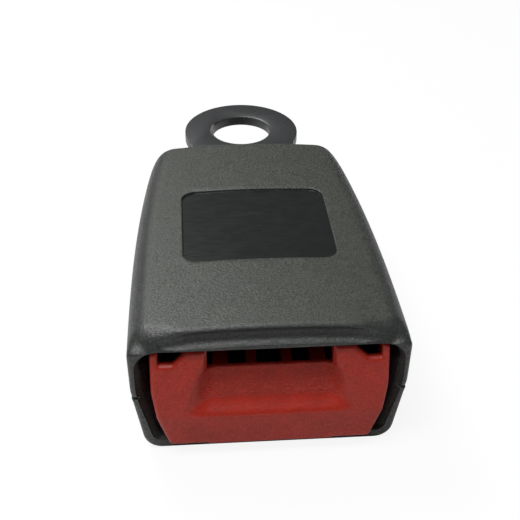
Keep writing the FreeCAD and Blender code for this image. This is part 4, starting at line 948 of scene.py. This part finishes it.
def pocket_cutter(low, high):
    """One pocket through the shelf behind its front edge, with an eased upper edge."""
    radius = POCKET_CORNER_RADIUS
    corners = [
        (high, POCKET_START, radius), (high, POCKET_END, 0.0),
        (low, POCKET_END, 0.0), (low, POCKET_START, radius),
    ]
    levels = [(9.0, 0.0), (SHELF_TOP - 0.2, 0.0), (SHELF_TOP, POCKET_EDGE), (24.0, POCKET_EDGE)]
    return prism("pocket", corners, levels, along_z, steps=3)


def build_button():
    """The button: dished face, shoulders, notches, shelf with pockets, skirt, arms and pegs."""
    piece = button_face()
    levels = [(BUTTON_SHOWN, 0.0), (BUTTON_END, 0.0)]
    outline = prism("outline", front_outline(), levels, along_y, steps=8)
    combine(piece, [outline], "INTERSECT")
    cutters = []
    for name, half, start, (low, high) in MIDDLE_SPACES:
        cutters.append(block(name, (-half, start, low), (half, SPACE_END, high)))
    for side in (-1.0, 1.0):
        cutters += [side_space(side, *space) for space in SIDE_SPACES]
    cutters += [pocket_cutter(low, high) for low, high in POCKETS]
    combine(piece, cutters, "DIFFERENCE")
    near, far = ARM_SPAN
    for low, high in ((-far, -near), (near, far)):
        region = block("region", (low, ARM_START, ARM_HEIGHTS[0]), (high, FAR, ARM_HEIGHTS[1]))
        combine(piece, [inner_part("press_button", region)], "UNION")
    return piece


def crease_walls(piece):
    """Sharp edges where the face meets what is cut straight back."""
    work = bmesh.new()
    work.from_mesh(piece.data)
    for edge in work.edges:
        upright = [abs(face.normal.y) < 0.001 for face in edge.link_faces]
        if len(upright) == 2 and upright[0] != upright[1]:
            edge.smooth = False
    work.to_mesh(piece.data)
    work.free()


# Materials

def feed(tree, node, inputs):
    """Links or values for a node's inputs, given as (name or number, socket or value)."""
    for key, value in inputs:
        if isinstance(value, bpy.types.NodeSocket):
            tree.links.new(value, node.inputs[key])
        else:
            node.inputs[key].default_value = value


def add_node(tree, kind, inputs=(), **settings):
    """A node with its settings and inputs."""
    node = tree.nodes.new("ShaderNode" + kind)
    for name, value in settings.items():
        setattr(node, name, value)
    feed(tree, node, inputs)
    return node


def new_material(name):
    """A material with an empty tree but for its output and its shader."""
    material = bpy.data.materials.new(name)
    material.use_nodes = True
    tree = material.node_tree
    tree.nodes.clear()
    shader = add_node(tree, "BsdfPrincipled")
    add_node(tree, "OutputMaterial", [("Surface", shader.outputs["BSDF"])])
    return material, tree, shader


def position(tree, scale=(1.0, 1.0, 1.0)):
    """Object coordinates, in millimetres."""
    place = add_node(tree, "TexCoord").outputs["Object"]
    scales = [axis / MM for axis in scale]
    return add_node(tree, "Mapping", [("Scale", scales), ("Vector", place)]).outputs["Vector"]


def separate(tree, vector, axis):
    """One axis of a vector."""
    return add_node(tree, "SeparateXYZ", [("Vector", vector)]).outputs[axis]


def noise(tree, vector, scale, detail=2.0, roughness=0.5):
    """Smooth noise; scale is its turns per millimetre."""
    inputs = [("Scale", scale), ("Detail", detail), ("Roughness", roughness), ("Vector", vector)]
    return add_node(tree, "TexNoise", inputs).outputs["Fac"]


def ramp(tree, value, stops):
    """Colours or greys by value; stops are (place, colour)."""
    node = add_node(tree, "ValToRGB", [("Fac", value)])
    elements = node.color_ramp.elements
    while len(elements) < len(stops):
        elements.new(0.5)
    for element, (place, colour) in zip(elements, stops):
        element.position = place
        element.color = (*colour, 1.0)
    return node.outputs["Color"]


def mixed(tree, kind, factor, first, second):
    """A colour mix; factor, first and second are sockets or values."""
    inputs = [(0, factor), (6, first), (7, second)]
    return add_node(tree, "Mix", inputs, data_type="RGBA", blend_type=kind).outputs[2]


def between(tree, value, start, end):
    """0 where a value is at start or beyond, 1 at end or beyond, and even steps between."""
    inputs = [("From Min", start), ("From Max", end), ("Value", value)]
    return add_node(tree, "MapRange", inputs).outputs["Result"]


def product(tree, first, second):
    """Two sockets or values multiplied."""
    return add_node(tree, "Math", [(0, first), (1, second)], operation="MULTIPLY").outputs["Value"]


def bump(tree, height, distance, strength, after=None):
    """A bump from a height; distance is in millimetres."""
    inputs = [("Distance", distance * MM), ("Strength", strength), ("Height", height)]
    if after is not None:
        inputs.append(("Normal", after))
    return add_node(tree, "Bump", inputs).outputs["Normal"]


def grey(value):
    return (value, value, value)


def srgb(red, green, blue):
    """A screen colour, 0 to 255, as the colour that renders so."""
    out = []
    for value in (red, green, blue):
        share = value / 255.0
        out.append(share / 12.92 if share <= 0.04045 else ((share + 0.055) / 1.055) ** 2.4)
    return tuple(out)


def grained_plastic(name, dark, light, grain, depth, roughness):
    """Moulded plastic with a spark-eroded grain that glints."""
    material, tree, shader = new_material(name)
    vector = position(tree)
    fine = noise(tree, vector, grain, 3.0, 0.65)
    coarse = noise(tree, vector, grain * 0.12, 2.0)
    colour = ramp(tree, fine, [(0.36, dark), (0.62, light)])
    cloud = ramp(tree, coarse, [(0.3, grey(0.9)), (0.7, grey(1.08))])
    rough = ramp(tree, fine, [(0.35, grey(roughness + 0.1)), (0.65, grey(roughness - 0.08))])
    feed(tree, shader, [
        ("Base Color", mixed(tree, "MULTIPLY", 1.0, colour, cloud)),
        ("Normal", bump(tree, fine, depth, 1.0)),
        ("Roughness", rough),
    ])
    shader.inputs["Specular IOR Level"].default_value = 0.5
    return material, tree, shader


def casing_material():
    """The casing's grain, with painted shade: darker and bluer where the surface turns away from straight
    up.
    """
    material, tree, shader = grained_plastic(
        "casing_grain_and_shade", srgb(30, 32, 29), srgb(64, 67, 61), 2.4, 0.12, 0.44)
    # painted shade: the colour is darkened and cooled where the surface tilts away from up, standing in
    # for light that falls from above
    upward = separate(tree, add_node(tree, "TexCoord").outputs["Normal"], "Z")
    level = between(tree, upward, 0.88, 0.99)
    painted_tilt_shade = ramp(tree, level, [(0.0, (0.5, 0.52, 0.56)), (1.0, grey(1.0))])
    earlier = shader.inputs["Base Color"].links[0].from_socket
    feed(tree, shader, [("Base Color", mixed(tree, "MULTIPLY", 1.0, earlier, painted_tilt_shade))])
    return material


def inside_shade_material():
    """The smooth inside of the casing's mouldings, in a dark bluish colour that is painted shade."""
    return grained_plastic("casing_inside", srgb(22, 23, 27), srgb(30, 31, 36), 1.2, 0.01, 0.4)[0]


def button_material():
    """Red plastic with a fine grain and a coarser, glinting one in the dish above its lowest part."""
    material, tree, shader = grained_plastic(
        "button_grain", srgb(134, 23, 8), srgb(156, 34, 14), 2.6, 0.05, 0.42)
    shader.inputs["Specular IOR Level"].default_value = 0.36
    vector = position(tree)
    height = separate(tree, vector, "Z")
    low, high = GLINT_BOTTOM - STRAP_UNDERSIDE, SHELF_TOP - STRAP_UNDERSIDE
    above = between(tree, height, low, low + 0.7)
    below = between(tree, height, high, high - 0.3)
    across = [(0, separate(tree, vector, "X"))]
    aside = add_node(tree, "Math", across, operation="ABSOLUTE").outputs["Value"]
    inside = between(tree, aside, *GLINT_SIDES)
    grained = product(tree, product(tree, above, below), inside)
    glint = product(tree, noise(tree, vector, 3.2, 2.0, 0.7), grained)
    earlier = shader.inputs["Normal"].links[0].from_socket
    feed(tree, shader, [("Normal", bump(tree, glint, 0.36, 1.0, earlier))])
    return material


def field_material():
    """The smooth field in the casing's top, with faint scratches."""
    material, tree, shader = new_material("field_smooth")
    vector = position(tree)
    scratches = noise(tree, position(tree, (0.25, 2.2, 1.0)), 1.2, 4.0, 0.6)
    cloud = noise(tree, vector, 0.3, 3.0)
    feed(tree, shader, [
        ("Base Color", ramp(tree, cloud, [(0.3, srgb(18, 20, 20)), (0.7, srgb(24, 26, 26))])),
        ("Roughness", ramp(tree, scratches, [(0.4, grey(0.34)), (0.7, grey(0.24))])),
        ("Normal", bump(tree, noise(tree, vector, 2.5, 2.0), 0.01, 0.6)),
    ])
    shader.inputs["Specular IOR Level"].default_value = 0.4
    return material


def strap_material():
    """Black coated steel, with a painted highlight: bright bare metal on one side of the hole's upper
    edge, where its rounded edge catches the light.
    """
    material, tree, shader = new_material("strap_coat")
    vector = position(tree)
    fine = noise(tree, vector, 1.6, 4.0, 0.6)
    coat = ramp(tree, fine, [(0.3, srgb(34, 35, 36)), (0.7, srgb(46, 47, 48))])
    flat = [(0, position(tree, (1.0, 1.0, 0.0)))]
    reach = add_node(tree, "VectorMath", flat, operation="LENGTH").outputs["Value"]
    uneven = [(0, noise(tree, vector, 1.1, 3.0)), (1, 0.5), (2, reach)]
    border = add_node(tree, "Math", uneven, operation="MULTIPLY_ADD").outputs["Value"]
    edge = ANCHOR_HOLE_RADIUS + HOLE_EDGE
    near_hole = between(tree, border, edge + 0.35, edge + 0.05)
    sideways = [(0, vector), (1, (-0.8, -0.6, 0.0))]
    near_left = add_node(tree, "VectorMath", sideways, operation="DOT_PRODUCT").outputs["Value"]
    highlight_side = between(tree, near_left, 3.0, 6.0)
    top = STRAP_THICKNESS - HOLE_EDGE
    on_edge = between(tree, separate(tree, vector, "Z"), top - 0.15, top + 0.1)
    # painted highlight: a bright, metallic band on the hole's near left upper edge, standing in for light
    # on its rounded edge
    painted_highlight = product(tree, near_hole, product(tree, highlight_side, on_edge))
    highlight_colour = (*srgb(188, 184, 178), 1.0)
    feed(tree, shader, [
        ("Base Color", mixed(tree, "MIX", painted_highlight, coat, highlight_colour)),
        ("Normal", bump(tree, fine, 0.02, 0.7)),
        ("Metallic", painted_highlight),
        ("Roughness", ramp(tree, painted_highlight, [(0.0, grey(0.42)), (1.0, grey(0.3))])),
    ])
    return material


def metal(name, low, high, roughness, metallic=1.0):
    """Plain worked metal with a faint grain; its colours are screen colours."""
    material, tree, shader = new_material(name)
    fine = noise(tree, position(tree), 1.5, 4.0, 0.6)
    rough = [(0.3, grey(roughness + 0.08)), (0.7, grey(roughness - 0.06))]
    feed(tree, shader, [
        ("Base Color", ramp(tree, fine, [(0.3, srgb(*low)), (0.7, srgb(*high))])),
        ("Roughness", ramp(tree, fine, rough)),
        ("Normal", bump(tree, fine, 0.015, 0.7)),
    ])
    shader.inputs["Metallic"].default_value = metallic
    return material


def paint(piece, material):
    """One material over the whole piece."""
    piece.data.materials.clear()
    piece.data.materials.append(material)


def paint_where(piece, material, chosen):
    """One more material, on the polygons that a rule chooses."""
    piece.data.materials.append(material)
    index = len(piece.data.materials) - 1
    for polygon in piece.data.polygons:
        if chosen(polygon):
            polygon.material_index = index


def middle_in_casing(polygon):
    """A polygon's middle in the casing's frame."""
    return polygon.center / MM + Vector((0.0, LIP_TO_HOLE, STRAP_UNDERSIDE))


def in_field(polygon):
    """Whether a polygon of the upper half lies in the sunk field."""
    centre = middle_in_casing(polygon)
    across = abs(centre.x) < RECESS_HALF_WIDTH + 0.02
    along = RECESS_START < centre.y < RECESS_START + RECESS_LENGTH
    sunk = centre.z < crown_height(min(abs(centre.x), 20.0), centre.y) - 0.1
    on_top = centre.z > top_height(centre.y) - 1.5 and polygon.normal.z > -0.2
    return across and along and sunk and on_top


def in_shaded_inside(polygon):
    """Whether a polygon of a casing half lies inside the casing, where painted shade goes."""
    centre = middle_in_casing(polygon)
    x, y, z = abs(centre.x), centre.y, centre.z
    in_wall = x < half_width(y) - 1.0 - max(0.0, SIDE_BEND_HEIGHT - z) * SIDE_LEAN / SIDE_BEND_HEIGHT
    covered = 1.0 < z < top_height(y) - 1.0 and (z < LIP_UNDERSIDE + 0.05 or y > 2.4)
    turned_out = polygon.normal.x * centre.x > 0.0 and z > top_height(y) - TOP_CORNER_RADIUS
    return in_wall and covered and not turned_out and 1.3 < y < LENGTH - 1.0


# Floor, camera and light

def white_emitter(tree, kind, strength=1.0):
    """A white light source of a kind."""
    node = add_node(tree, kind, [("Color", (1.0, 1.0, 1.0, 1.0)), ("Strength", strength)])
    return node.outputs[0]


def floor_material():
    """Nearly white to the camera and grey to the light, so that shade on it stays faint."""
    material, tree, shader = new_material("floor_white")
    surface = shader.outputs["BSDF"]
    output = surface.links[0].to_node
    shader.inputs["Base Color"].default_value = (0.7, 0.7, 0.7, 1.0)
    shader.inputs["Roughness"].default_value = 0.8
    factor = product(tree, add_node(tree, "LightPath").outputs["Is Camera Ray"], 0.9)
    looks = [("Fac", factor), (1, surface), (2, white_emitter(tree, "Emission"))]
    feed(tree, output, [("Surface", add_node(tree, "MixShader", looks).outputs["Shader"])])
    return material


def build_floor():
    """A wide floor just under the part."""
    bottom = -STRAP_UNDERSIDE * MM - FLOOR_DROP
    size = FLOOR_REACH
    corners = [(-size, -size), (size, -size), (size, size), (-size, size)]
    mesh = bpy.data.meshes.new("floor")
    mesh.from_pydata([(x, y, bottom) for x, y in corners], [], [(0, 1, 2, 3)])
    floor = new_object("floor", mesh)
    floor.data.materials.append(floor_material())


def build_camera():
    """The photograph's camera."""
    data = bpy.data.cameras.new("camera")
    data.sensor_width = SENSOR_WIDTH
    data.lens = SENSOR_WIDTH * FOCAL_PIXELS / PICTURE_PIXELS
    data.clip_start = 0.01
    data.clip_end = 10.0
    camera = new_object("camera", data)
    origin = Vector(to_scene(CAMERA_PLACE)[0])
    axes = (Vector(CAMERA_RIGHT), -Vector(CAMERA_DOWN), -Vector(CAMERA_FORWARD))
    camera.matrix_world = Matrix.Translation(origin) @ Matrix(axes).transposed().to_4x4()
    bpy.context.scene.camera = camera


def area_light(name, place, size, power):
    """A rectangular light that faces the part."""
    data = bpy.data.lights.new(name, "AREA")
    data.shape = "RECTANGLE"
    data.size, data.size_y = size
    data.energy = power
    light = new_object(name, data)
    light.location = place
    aim = Vector(LIGHT_TARGET) - Vector(place)
    light.rotation_euler = aim.to_track_quat("-Z", "Y").to_euler()


def build_world(strength):
    """Soft light from all round, behind a background that the camera sees white."""
    world = bpy.data.worlds.new("world")
    bpy.context.scene.world = world
    world.use_nodes = True
    tree = world.node_tree
    tree.nodes.clear()
    to_camera = add_node(tree, "LightPath").outputs["Is Camera Ray"]
    soft = white_emitter(tree, "Background", strength)
    looks = [("Fac", to_camera), (1, soft), (2, white_emitter(tree, "Background"))]
    mix = add_node(tree, "MixShader", looks)
    add_node(tree, "OutputWorld", [("Surface", mix.outputs["Shader"])])


# The pieces

upper = build_upper_casing()
lower = build_lower_casing()
button = build_button()
strap = build_strap()

casing_grain_and_shade = casing_material()
painted_inside_shade = inside_shade_material()
paint(upper, casing_grain_and_shade)
paint_where(upper, field_material(), in_field)
# painted shade: the casing's inside, with the mouth's walls, gets the dark colour
paint_where(upper, painted_inside_shade, in_shaded_inside)
paint(lower, casing_grain_and_shade)
paint_where(lower, painted_inside_shade, in_shaded_inside)
paint(button, button_material())
paint(strap, strap_material())

for piece, angle in ((upper, 32.0), (lower, 32.0), (button, 35.0), (strap, 30.0)):
    shade(piece, angle)
crease_walls(button)

for piece, node, body, slot in (
    (upper, "upper_casing", "housing", "casing_plastic"),
    (lower, "lower_casing", "housing", "casing_plastic"),
    (strap, "anchor_strap", "housing", "strap_steel"),
    (button, "press_button", "button", "button_plastic"),
):
    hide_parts(node)
    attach(piece, body)

finishes = {slot: metal(*values) for slot, values in METALS.items()}
for entry in frame["record"]["subparts"]:
    finish = finishes.get(entry["material_slot"])
    if finish is not None:
        paint(frame["nodes"][entry["node"]], finish)

build_floor()
build_camera()
build_world(WORLD_STRENGTH)
for name, place, size, power in LIGHTS:
    area_light(name, place, size, power)
bpy.context.scene.view_settings.view_transform = "Standard"
